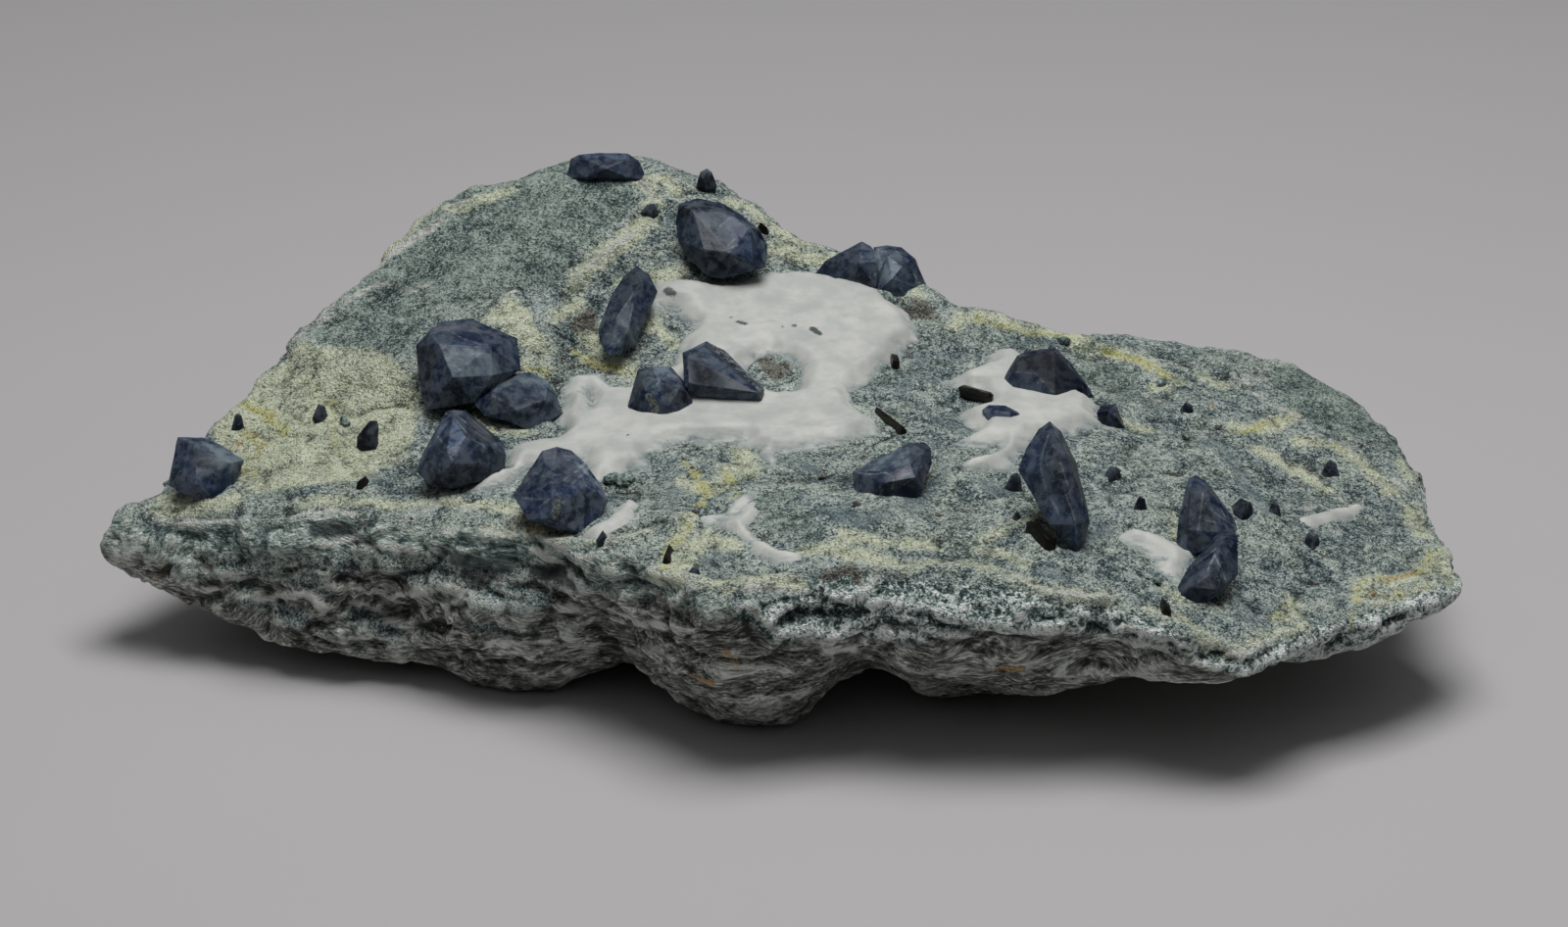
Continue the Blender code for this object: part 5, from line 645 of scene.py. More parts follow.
class RockColours:
    """The colours of the rock, with painted shade in its hollows and painted light on its front band and
    right-hand edge, shared by the natrolite where that is thin.
    """

    def __init__(self, w):
        self.w = w
        self.wobble = wobble = w.noise(1.8, 0.7, 3.0, 0.62)
        broad = w.noise(9.0, 0.3, 2.0, 0.55)
        middle = w.noise(3.0, 0.5, 3.0, 0.62)
        fine = w.noise(0.6, 0.9, 3.0, 0.75, 0.8)
        speck = w.noise(0.26, 1.4, 1.0, 0.6)
        patch = w.noise(5.5, 2.9, 2.0, 0.6)
        drift = w.node("ShaderNodeTexNoise", None, {"Vector": w.place, "Scale": TO_MM / 11.0, "Detail": 1.0},
                       "Color")
        bent = w.node("ShaderNodeVectorMath", {"operation": "SCALE"}, {0: drift, "Scale": 0.009})
        bent = w.node("ShaderNodeVectorMath", {"operation": "ADD"}, {0: bent, 1: w.place})

        def streaks(stretch, detail, roughness):
            """Noise drawn out along the slab's bedding."""
            along = w.node("ShaderNodeMapping", None, {"Vector": bent, "Rotation": (0.15, 0.06, 0.0),
                                                       "Scale": stretch})
            return w.noise(1.0, detail=detail, roughness=roughness, where=along)

        threads = streaks((0.28, 0.6, 1.1), 3.0, 0.68)
        hairs = streaks((0.8, 1.7, 4.0), 2.0, 0.62)
        coarse = w.noise(0.9, 2.3, 2.0, 0.65, 1.4)

        # Painted shade: the grains below run darker where the slab lies in a hollow
        hollow = w.mark("hollow")
        grain = 0.565 + (coarse - 0.5) * 0.8 + (fine - 0.5) * 1.7 + (speck - 0.5) * 1.4
        grain = grain + (middle - 0.5) * 0.75 - hollow * 0.18 + (patch - 0.5) * 0.5
        wisps = 0.545 + (threads - 0.5) * 1.2 + (hairs - 0.5) * 1.5 + (fine - 0.5) * 0.6 - hollow * 0.14
        wisps = wisps + (patch - 0.5) * 0.9
        worms = 0.525 + (coarse - 0.5) * 2.2 + (fine - 0.5) * 1.0 + (speck - 0.5) * 0.6 - hollow * 0.25
        self.height = w.mix(w.mark("fibre"), grain, hairs * 1.4 + fine * 0.6)

        def at(name, low=0.3, high=0.7, reach=0.9, grit=0.35):
            """A painted zone whose border follows the lumps and the grains."""
            return w.smooth(w.mark(name) + (wobble - 0.5) * reach + (fine - 0.5) * grit, low, high)

        def stone(stops, value=grain):
            """A mineral's own ramp, run through by its grains."""
            return w.node("ShaderNodeValToRGB", {"stops": stops}, {"Fac": value})

        colour = w.mix(w.smooth(broad * 0.55 + middle * 0.45, 0.42, 0.6), stone(GROUND), stone(WARM))
        smear = at("smear")
        colour = w.mix(smear * 0.5, colour, (0.15, 0.21, 0.235))
        colour = w.mix(at("green") * 0.85, colour, stone(GREEN))
        colour = w.mix(at("lip"), colour, stone(LIP, wisps))
        # The granular band and the right-hand edge take the paler ramp: painted light on the front
        colour = w.mix(at("band").most(at("edge")), colour, stone(BAND_AND_PAINTED_LIGHT, worms))
        fibre = at("fibre", 0.25, 0.75) * (1 - at("edge") * 0.7)
        colour = w.mix(fibre, colour, stone(FIBRE, wisps))
        colour = w.mix(at("lens"), colour, stone(LENS, 0.5 + (threads - 0.5) * 1.2 + (middle - 0.5)))
        # Crests of the fibrous front and the lip take the chalk ramp: chalky crumbs, and a painted highlight on
        # what stands out
        crest = w.smooth(hollow * -1.0, 0.1, 0.6) * (w.mark("fibre") + w.mark("lip")).least(1.0)
        crest = crest * w.smooth(patch + (wobble - 0.5) * 0.4, 0.46, 0.62)
        colour = w.mix(crest * 0.45, colour, stone(CHALK, wisps))
        colour = w.mix(at("dark"), colour, stone(BROWN))
        rich = w.smooth(patch * 0.5 + middle * 0.5, 0.4, 0.54) * 0.35 + 0.65
        colour = w.mix(at("cream", 0.18, 0.68, 1.0, 0.5) * rich, colour, stone(CREAM))
        colour = w.mix(at("yellow", 0.3, 0.95, 1.5, 0.6) * 0.9, colour, stone(GOLD))
        colour = w.mix(at("orange", 0.3, 0.8, 1.0, 0.6) * 0.9, colour, stone(RUST))
        colour = w.mix(at("white", 0.25, 0.7, 0.9, 0.5), colour, stone(CHALK, wisps))
        colour = w.mix(at("milk", 0.42, 0.95) * 0.8, colour, (0.46, 0.50, 0.49))
        # Painted shade in the hollows and crevices: the colour is darkened where the surface lies below its
        # neighbourhood
        self.colour = w.shade(colour, 1.0 - w.smooth(hollow, 0.15, 1.0) * 0.5)
        self.fine = fine


def rock_finish():
    """Granular blue-green rock with its cream, yellow, green, white and fibrous zones."""
    w = material_wires("rock")
    rock = RockColours(w)
    normal = w.bump(rock.height, 0.32, 1.0)
    return w.finish(Base_Color=rock.colour, Roughness=0.7 + 0.2 * rock.fine, Normal=normal, IOR=1.5,
                    Specular_IOR_Level=0.3)


def natrolite_finish():
    """Milky white natrolite, bluish where it is thin, with the rock showing through its feathered border."""
    s = settings().natrolite
    w = material_wires("natrolite")
    rock = RockColours(w)
    cloud = w.noise(4.0, 0.2, 4.0, 0.55)
    feather = w.noise(1.3, 0.6, 3.0, 0.62, 0.5, w.shifted((0.1, 0.0, 0.0), (0.4, 1.0, 1.0), (0.0, 0.0, 0.25)))
    grit = (rock.fine - 0.5) * 0.5
    thin = w.mark("thin") + (cloud - 0.5) * 0.45 + (feather - 0.5) * 1.1
    colour = w.mix(w.smooth(cloud, 0.3, 0.7), tuple(s.white), (0.46, 0.475, 0.45))
    colour = w.mix(w.smooth(feather, 0.48, 0.7) * 0.3, colour, (0.40, 0.43, 0.415))
    colour = w.mix(w.smooth(thin, 0.35, 0.8), colour, (0.30, 0.35, 0.345))
    fleck = w.smooth(w.mark("fleck") + (feather - 0.5) * 0.8 + grit, 0.35, 0.75)
    colour = w.mix(fleck, colour, (0.075, 0.095, 0.09))
    bare = w.smooth(thin + grit * 1.6, 0.6, 0.95)
    colour = w.mix(bare, colour, rock.colour)
    normal = w.bump(feather * 0.3 + cloud * 0.6 + bare * rock.height * 1.4, 0.2, 0.7)
    return w.finish(Base_Color=colour, Roughness=0.5 + 0.3 * bare, Normal=normal, IOR=1.49,
                    Specular_IOR_Level=0.4, Subsurface_Weight=0.15,
                    Subsurface_Radius=(1.0, 0.95, 0.85), Subsurface_Scale=0.001)


def benitoite_finish():
    """Dark blue crystal, slate where plain, with painted light and shade on its facets: a painted lilac
    reflection of the light box, facets painted bright as if lit from within and dark as if in shade, pale zones
    partly its own and partly painted light; pale veins and fine growth lines.
    """
    s = settings().crystals
    w = material_wires("benitoite")
    cloud = w.noise(4.5, 0.4, 3.0, 0.55)
    mist = w.noise(1.4, 0.8, 4.0, 0.62)
    dust = w.noise(0.4, 1.9, 2.0, 0.6)
    lines = w.noise(0.45, 1.2, 2.0, 0.5, 0.0, w.shifted((0.0, 0.0, 0.0), (0.2, 1.0, 1.0), (0.3, 0.5, 0.9)))

    def at(name, low=0.3, high=0.7, reach=0.7):
        """A mark with a cloudy border, most of it held to the crystal's flat facets."""
        mark = w.mark(name)
        if name in FACET_TONES:
            mark = mark * 0.5 + w.mark(name + "_facet") * 1.05
            reach = reach * 0.6
        return w.smooth(mark + (mist - 0.5) * reach + (cloud - 0.5) * 0.4, low, high)

    def crack(size, seed, width):
        """Thin winding lines where a noise crosses its middle."""
        field = w.noise(size, seed, 2.0, 0.5, 0.6)
        away = w.node("ShaderNodeMath", {"operation": "ABSOLUTE"}, {0: field - 0.5})
        return 1 - w.smooth(away, 0.0, width)

    colour = w.mix(w.smooth(cloud, 0.38, 0.62), tuple(s.blue), (0.030, 0.048, 0.078))
    colour = w.mix(w.smooth(mist, 0.52, 0.74) * 0.35, colour, (0.055, 0.078, 0.115))
    # Bright facets: painted light, as if lit from within
    colour = w.mix(at("bright") * 0.85, colour, w.mix(w.smooth(mist, 0.35, 0.65), (0.030, 0.050, 0.105),
                                                     (0.085, 0.125, 0.215)))
    # Pale zones: partly the crystal's own pale clouds, partly painted light
    colour = w.mix(at("pale") * 0.85, colour, w.mix(w.smooth(mist, 0.35, 0.68), (0.080, 0.115, 0.150),
                                                   (0.240, 0.300, 0.340)))
    # A lilac-grey sheen on upward facets: a painted reflection of the light box
    colour = w.mix(at("lilac") * 0.8, colour, w.mix(w.smooth(lines, 0.35, 0.65), (0.060, 0.066, 0.090),
                                                   (0.170, 0.172, 0.205)))
    # Deep facets: painted shade
    deep = at("deep", 0.3, 0.8)
    colour = w.mix(deep * 0.85, colour, w.mix(w.smooth(mist, 0.4, 0.7), (0.009, 0.012, 0.019),
                                              (0.020, 0.028, 0.042)))
    glitter = w.smooth(lines * 0.7 + dust * 0.5, 0.58, 0.72)
    band = at("band", 0.35, 0.6, 0.3)
    colour = w.mix(band, colour, w.mix(glitter, (0.020, 0.024, 0.035), (0.300, 0.320, 0.350)))
    vein = w.smooth(w.mark("vein") + (dust - 0.5) * 0.6, 0.2, 0.85) * (0.35 + 0.65 * w.smooth(mist, 0.4, 0.6))
    worn = w.smooth(w.mark("worn") + (dust - 0.5) * 0.8, 0.35, 1.0) * w.smooth(mist, 0.38, 0.6)
    hair = crack(3.4, 1.7, 0.012).most(crack(2.2, 4.1, 0.014) * 0.6) * w.smooth(cloud, 0.46, 0.62)
    colour = w.mix(worn * 0.45, colour, (0.150, 0.180, 0.215))
    colour = w.mix(vein * 0.9, colour, (0.330, 0.370, 0.410))
    colour = w.mix(hair * 0.4, colour, (0.200, 0.235, 0.280))
    colour = w.mix(w.smooth(dust, 0.66, 0.76) * 0.5, colour, (0.300, 0.330, 0.370))
    colour = w.shade(colour, 0.55 + w.mark("tone") * 0.6)
    chip = at("chip", 0.35, 0.6, 0.9)
    colour = w.mix(chip * 0.85, colour, w.mix(w.smooth(dust, 0.35, 0.65), (0.040, 0.050, 0.047),
                                              (0.190, 0.205, 0.190)))
    height = lines * 0.35 + mist * 0.5 + dust * 0.3 + chip * dust * 3.0 + band * lines * 2.0
    normal = w.bump(height, 0.06, 0.7)
    return w.finish(Base_Color=colour, Roughness=0.2 + 0.16 * mist + 0.4 * chip.most(deep), Normal=normal,
                    IOR=1.76, Specular_IOR_Level=0.09)


def neptunite_finish():
    """Black-brown glossy prisms with long striations."""
    s = settings().crystals
    w = material_wires("neptunite")
    stripe = w.noise(0.5, 0.3, 3.0, 0.6, 0.2, w.shifted((0.0, 0.0, 0.0), (0.3, 0.3, 1.0)))
    colour = w.mix(w.smooth(stripe, 0.5, 0.75), tuple(s.black), (0.017, 0.013, 0.009))
    normal = w.bump(stripe, 0.08, 0.7)
    return w.finish(Base_Color=colour, Roughness=0.22 + 0.25 * stripe, Normal=normal, IOR=1.69,
                    Specular_IOR_Level=0.2)


def floor_finish():
    """Plain matt gray sweep."""
    s = settings().stage
    w = material_wires("floor")
    faint = w.noise(60.0, 0.3, 3.0, 0.5)
    speck = w.noise(1.5, 0.8, 2.0, 0.6)
    colour = w.mix(w.smooth(faint, 0.3, 0.7) * 0.12, tuple(s.floor), tuple(c * 0.93 for c in s.floor))
    return w.finish(Base_Color=colour, Roughness=0.85 + 0.08 * speck, Normal=w.bump(speck, 0.05, 0.2),
                    Specular_IOR_Level=0.2)


def new_object(name, mesh, finish):
    """An object at the origin with one finish."""
    obj = bpy.data.objects.new(name, mesh)
    bpy.context.scene.collection.objects.link(obj)
    mesh.materials.clear()
    mesh.materials.append(finish)
    return obj


def hand_over(obj, slot, *nodes):
    """Hide the CAD parts that a finished piece takes the place of, and hang it on the root."""
    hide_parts(*nodes)
    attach(obj, "root")
    return obj


def merged(node):
    """A bmesh copy of a CAD node with its loose triangles joined, in millimetres."""
    bm = bmesh.new()
    bm.from_mesh(NODES[node].data)
    bmesh.ops.scale(bm, vec=(TO_MM, TO_MM, TO_MM), verts=bm.verts)
    bmesh.ops.remove_doubles(bm, verts=bm.verts, dist=0.01)
    return bm


def to_mesh(bm, name):
    """A mesh in metres from a bmesh in millimetres."""
    bmesh.ops.scale(bm, vec=(MM, MM, MM), verts=bm.verts)
    mesh = bpy.data.meshes.new(name)
    bm.to_mesh(mesh)
    bm.free()
    return mesh


def settled(obj):
    """The object's mesh with its modifiers worked in."""
    depsgraph = bpy.context.evaluated_depsgraph_get()
    made = bpy.data.meshes.new_from_object(obj.evaluated_get(depsgraph))
    obj.modifiers.clear()
    obj.data = made
    return made


def points_of(mesh):
    """Every point of a mesh in millimetres, and its normal."""
    at = np.empty(len(mesh.vertices) * 3)
    mesh.vertices.foreach_get("co", at)
    facing = np.empty(len(mesh.vertices) * 3)
    mesh.vertices.foreach_get("normal", facing)
    return at.reshape(-1, 3) * TO_MM, facing.reshape(-1, 3)


def write_points(mesh, at):
    """Put a mesh's points where they are wanted, given in millimetres."""
    mesh.vertices.foreach_set("co", (at * MM).ravel())
    mesh.update()


def ease(values):
    """Values held to 0 to 1 and eased at both ends."""
    values = np.clip(values, 0.0, 1.0)
    return values * values * (3.0 - 2.0 * values)


def lumps(at, size, seed=0.0, octaves=1, stretch=(1.0, 1.0, 1.0)):
    """Noise in about -1 to 1 at points in millimetres."""
    shift = Vector((seed, seed * 1.7, -seed * 0.6))
    scaled = at * np.array(stretch) / size
    if octaves == 1:
        return np.array([noise.noise(Vector(p) + shift) for p in scaled])
    return np.array([noise.fractal(Vector(p) + shift, 1.0, 2.1, octaves) for p in scaled])


def broken(at, size, seed):
    """Tilted flat breaks: each cell leans its own way."""
    shift = Vector((seed, -seed, seed * 0.4))
    heights = []
    for p in at / size:
        spot = Vector(p) + shift
        centre = noise.voronoi(spot)[1][0]
        lean = noise.cell_vector(centre * 37.3) * 2.0 - Vector((1.0, 1.0, 1.0))
        heights.append(lean.dot(spot - centre))
    return np.array(heights)


def stroke_distance(at, rows):
    """Distance from each point to a stroke's edge, negative inside it."""
    best = np.full(len(at), np.inf)
    if len(rows) == 1:
        rows = rows * 2
    for first, second in zip(rows, rows[1:]):
        a, b = np.array(first), np.array(second)
        along = b[:3] - a[:3]
        length = along @ along
        share = np.clip((at - a[:3]) @ along / length, 0.0, 1.0) if length else np.zeros(len(at))
        away = np.linalg.norm(at - a[:3] - share[:, None] * along, axis=1)
        best = np.minimum(best, away - a[3] - share * (b[3] - a[3]))
    return best


def painted(at, strokes, soft):
    """0.5 on a stroke's edge, 1 at its heart, 0 well away."""
    field = np.zeros(len(at))
    for rows in strokes:
        table = np.array(rows)
        reach = table[:, 3].max() + soft
        low, high = table[:, :3].min(0) - reach, table[:, :3].max(0) + reach
        near = np.nonzero(((at > low) & (at < high)).all(1))[0]
        if len(near):
            value = np.clip(0.5 - stroke_distance(at[near], rows) / (2.0 * soft), 0.0, 1.0)
            field[near] = np.maximum(field[near], value)
    return field


def outline_distance(at, outline):
    """Distance in plan from each point to an outline, positive inside it."""
    corners = np.array(outline)
    nearest = np.full(len(at), np.inf)
    inside = np.zeros(len(at), bool)
    x, y = at[:, 0], at[:, 1]
    for a, b in zip(corners, np.roll(corners, -1, axis=0)):
        along = b - a
        share = np.clip(((at[:, :2] - a) @ along) / (along @ along), 0.0, 1.0)
        nearest = np.minimum(nearest, np.linalg.norm(at[:, :2] - a - share[:, None] * along, axis=1))
        crosses = (a[1] > y) != (b[1] > y)
        inside ^= crosses & (x < (b[0] - a[0]) * (y - a[1]) / (b[1] - a[1] + 1e-12) + a[0])
    return np.where(inside, nearest, -nearest)


def write_mark(mesh, name, values, domain="POINT"):
    """Store one number for each point or face."""
    layer = mesh.attributes.new(name, "FLOAT", domain)
    layer.data.foreach_set("value", np.ascontiguousarray(values, np.float32))


def numbers_of(items, name, width=1):
    """Whole numbers read from a mesh's list, such as its faces' corners."""
    found = np.empty(len(items) * width, np.int32)
    items.foreach_get(name, found)
    return found


class Rock:
    """What later pieces need of the earlier ones: the slab's surfaces and the benitoite's finish."""
    smooth_tree = None
    plain_tree = None
    benitoite = None


def tree_of(mesh):
    """A mesh's faces, ready for rays."""
    bm = bmesh.new()
    bm.from_mesh(mesh)
    tree = BVHTree.FromBMesh(bm)
    bm.free()
    return tree


def drop(tree, x, y):
    """The upper face's height over a spot, in millimetres."""
    hit = tree.ray_cast(Vector((x, y, RAY_HEIGHT)) * MM, Vector((0.0, 0.0, -1.0)))[0]
    return hit.z * TO_MM if hit else None


def on_face(strokes):
    """Strokes of the upper face with their heights found on the rock."""
    placed = []
    for rows in strokes:
        spots = [(x, y, drop(Rock.smooth_tree, x, y), radius) for x, y, radius in rows]
        placed.append([spot for spot in spots if spot[2] is not None])
    return [rows for rows in placed if rows]


def on_front(strokes):
    """Strokes of the front with their depths found on the rock."""
    placed = []
    for rows in strokes:
        spots = []
        for x, z, radius in rows:
            hit = Rock.smooth_tree.ray_cast(Vector((x, RAY_FRONT, z)) * MM, Vector((0.0, 1.0, 0.0)))[0]
            if hit:
                spots.append((x, hit.y * TO_MM, z, radius))
        placed.append(spots)
    return [rows for rows in placed if rows]


def shifted_outline(outline):
    """A natrolite outline moved from its drawing's origin to the specimen's."""
    return [(x + NATROLITE_SHIFT[0], y + NATROLITE_SHIFT[1]) for x, y in outline]


def patch_depth(at, outline, island):
    """How far each point lies inside a patch of natrolite, whose island of rock counts as outside."""
    inside = outline_distance(at, shifted_outline(outline))
    if island:
        inside = np.minimum(inside, -outline_distance(at, shifted_outline(island)))
    return inside


def natrolite_depth(at):
    """How far each point lies inside one of the patches, negative outside all of them."""
    depths = [patch_depth(at, outline, island) for outline, thickness, island in NATROLITE.values()]
    return np.max(depths, axis=0)


def calm_facing(at):
    """The normals of the smooth slab next to each point."""
    near = [Rock.smooth_tree.find_nearest(Vector(p) * MM)[1] for p in at]
    return np.array([tuple(normal) for normal in near])


def paint_rock(mesh):
    """Work out every colour zone of a piece as an attribute."""
    at, facing = points_of(mesh)
    # How far each point lies in a hollow, which the rock's colours turn into painted shade
    write_mark(mesh, "hollow", hollows(mesh, at, facing))
    facing = calm_facing(at)
    up = ease(facing[:, 2] * 2.0 + 0.2)
    for name, soft in SOFT.items():
        strokes = on_face(FACE_MARKS.get(name, [])) + on_front(FRONT_MARKS.get(name, []))
        field = painted(at, strokes, soft)
        for outline in FACE_AREAS.get(name, []):
            spread = np.clip(0.5 + outline_distance(at, outline) / 3.0, 0.0, 1.0)
            field = np.maximum(field, spread * up)
        write_mark(mesh, name, field)
    table = np.array(FIBRE_TOP)
    below = np.interp(at[:, 0], table[:, 0], table[:, 1]) - at[:, 2]
    front = ease(0.6 - facing[:, 2])
    hidden = ease(at[:, 1] / 30.0) * ease(0.3 - facing[:, 2])
    write_mark(mesh, "fibre", np.clip(0.5 + below / 3.0, 0.0, 1.0) * np.maximum(front, hidden))
    write_mark(mesh, "milk", np.clip(0.5 + natrolite_depth(at) / 4.0, 0.0, 1.0) * up)
    # The parts of the front, held to surfaces that face forward; the band and the edge carry painted light
    across = np.column_stack((at[:, 0], at[:, 2]))
    for name, area in FRONT_AREAS.items():
        inside = np.clip(0.5 + outline_distance(across, area) / 2.5, 0.0, 1.0)
        write_mark(mesh, name, inside * ease(0.5 - facing[:, 1] * 2.0) * ease((0.86 - facing[:, 2]) * 4.0))


def ridge(at, size, seed, stretch, octaves=2):
    """Sharp winding ridges, 1 on the crest and 0 away from it."""
    return np.clip(1.0 - 3.2 * np.abs(lumps(at, size, seed, octaves, stretch)), 0.0, 1.0)


def rough_up(at, facing, share):
    """Push the smooth slab out and in along its normals: breaks, crumbs, ledges, cracks and rims."""
    side = ease(1.25 - 1.5 * np.abs(facing[:, 2]))
    cover = ease(0.5 + natrolite_depth(at) / 1.6) * ease(facing[:, 2] * 2.0)
    calm = ease(0.5 + np.max([outline_distance(at, area) for area in FACE_AREAS["green"]], axis=0) / 3.0)

    # Breaks and crumbs all over, calmer on the raised green slab
    push = 0.26 * lumps(at, 6.0, 1.0, 3)
    push += 0.34 * broken(at, 7.0, 2.0)
    push += (0.16 + 0.16 * side) * broken(at, 3.2, 5.0)
    push += (0.16 + 0.30 * side) * (np.abs(lumps(at, 2.8, 7.0, 2)) - 0.25)
    push += 0.09 * lumps(at, 1.3, 9.0)
    push *= 1.0 - 0.35 * calm

    # Ledges, cracks and flakes round the sides, along wavy beds
    lean = at + np.column_stack((np.zeros(len(at)), np.zeros(len(at)), 3.2 * lumps(at, 18.0, 3.0, 2)))
    push += side * 1.0 * (ridge(lean, 13.0, 13.0, (0.5, 0.7, 1.2), 3) - 0.3)
    push += side * 0.3 * (ridge(lean, 5.0, 17.0, (0.6, 0.8, 1.1)) - 0.3)
    push -= side * 0.9 * ridge(lean, 12.0, 19.0, (0.45, 0.6, 1.1), 3) ** 3
    push += side * (0.7 * lumps(at, 9.0, 23.0, 2) + 0.6 * broken(lean * (0.6, 0.8, 1.0), 6.0, 31.0))
    push += side * 0.42 * broken(lean * (0.35, 0.5, 1.5), 2.6, 41.0)

    # A few cracks on top, white crumbs on the front, and little of all this under the natrolite
    push -= (1.0 - side) * 0.35 * ridge(at, 12.0, 11.0, (1.0, 1.0, 1.0), 3) ** 3
    chalk = painted(at, on_front(FRONT_MARKS["white"]), 0.9)
    push += 0.6 * ease(chalk * 1.3) * (0.7 + 0.9 * lumps(at, 1.8, 14.0))
    push *= share
    push = push * (1.0 - 0.7 * cover) - 0.1 * cover

    # The raised rims of the upper face
    swell = 1.0 + 0.7 * lumps(at, 3.0, 15.0)
    for line, radius, height, soft in RIDGES:
        crest = painted(at, on_face([[(x, y, radius) for x, y in line]]), soft)
        push += height * ease(crest * 1.25) * swell

    # The left tip is drawn out blunt, and nothing goes below the floor
    moved = at + facing * push[:, None]
    blunt = ease(1.15 - np.linalg.norm(at - at[np.argmin(at[:, 0])], axis=1) / 8.0)
    moved[:, 0] += 1.1 * blunt
    moved[:, 2] += 1.9 * blunt * facing[:, 2]
    moved[:, 2] = np.maximum(moved[:, 2], 0.0)
    return moved


def hollows(mesh, at, facing):
    """How deep each point lies below its neighbourhood: about 1 in a crevice, -1 on a crest."""
    ends = numbers_of(mesh.edges, "vertices", 2)
    first, second = ends.reshape(-1, 2).T
    count = np.bincount(ends, minlength=len(at))[:, None]
    around = at
    for step in range(7):
        total = np.zeros_like(at)
        np.add.at(total, first, around[second])
        np.add.at(total, second, around[first])
        around = total / np.maximum(count, 1)
    return np.clip(((around - at) * facing).sum(1) / 0.32, -1.0, 1.0)


class SPECIMEN_OT_rock(bpy.types.Operator):
    """Makes the slab of rock from its plain solid: a fine mesh, broken relief and painted zones"""
    bl_idname = "specimen.rock"
    bl_label = "Rock slab"

    def execute(self, context):
        s = settings().rock
        finish = rock_finish()
        bm = merged("matrix")
        slab = new_object("rock", to_mesh(bm, "rock"), finish)
        remesh = slab.modifiers.new("fine skin", "REMESH")
        remesh.mode = "VOXEL"
        remesh.voxel_size = s.grain
        soften = slab.modifiers.new("no facets", "SMOOTH")
        soften.factor = 0.5
        soften.iterations = 24
        mesh = settled(slab)
        if not mesh.vertices:
            raise RuntimeError("the slab's fine mesh came out empty")
        Rock.smooth_tree = tree_of(mesh)
        Rock.plain_tree = tree_of(NODES["matrix"].data)
        at, facing = points_of(mesh)
        write_points(mesh, rough_up(at, facing, s.relief))
        triangles = 2 * len(mesh.polygons)
        if triangles > s.faces:
            thin = slab.modifiers.new("fewer faces", "DECIMATE")
            thin.ratio = s.faces / triangles
            mesh = settled(slab)
        paint_rock(mesh)
        mesh.polygons.foreach_set("use_smooth", [True] * len(mesh.polygons))
        mesh.materials.clear()
        mesh.materials.append(finish)
        hand_over(slab, "rock", "matrix")
        return {"FINISHED"}


def chip(bm, at, size, turn):
    """One small broken grain half sunk in the rock."""
    made = bmesh.ops.create_icosphere(bm, subdivisions=1, radius=size)
    points = np.array([vert.co for vert in made["verts"]])
    spread = 1.0 + 0.35 * lumps(points + np.array(at) * 3.1, size * 1.3, turn)
    for vert, share in zip(made["verts"], spread):
        vert.co = vert.co * share
    bmesh.ops.scale(bm, vec=(1.35, 0.85, 0.75), verts=made["verts"])
    bmesh.ops.rotate(bm, cent=(0.0, 0.0, 0.0), matrix=Matrix.Rotation(turn, 3, Vector((0.3, 0.2, 1.0))),
                     verts=made["verts"])
    bmesh.ops.translate(bm, vec=at, verts=made["verts"])


def chips_piece(name, rows, colours):
    """A handful of loose-looking grains of one mineral."""
    w = material_wires(name)
    grit = w.noise(0.5, 0.4, 3.0, 0.65)
    patch = w.noise(1.5, 1.1, 2.0, 0.5)
    value = 0.5 + (grit - 0.5) * 1.8 + (patch - 0.5)
    colour = w.node("ShaderNodeValToRGB", {"stops": colours}, {"Fac": value})
    finish = w.finish(Base_Color=colour, Roughness=0.6 + 0.25 * grit, Normal=w.bump(grit, 0.15, 0.8), IOR=1.5)
    bm = bmesh.new()
    for number, (x, y, size) in enumerate(rows):
        z = drop(Rock.smooth_tree, x, y)
        if z is None:
            raise RuntimeError("a chip lies off the rock")
        chip(bm, (x, y, z + 0.15 * size), size, 0.7 + 1.9 * number)
    piece = new_object(name, to_mesh(bm, name), finish)
    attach(piece, "root")


def plan_strokes(name):
    """The natrolite's marks laid flat."""
    return [[(x, y, 0.0, radius) for x, y, radius in rows] for rows in NATROLITE_MARKS[name]]


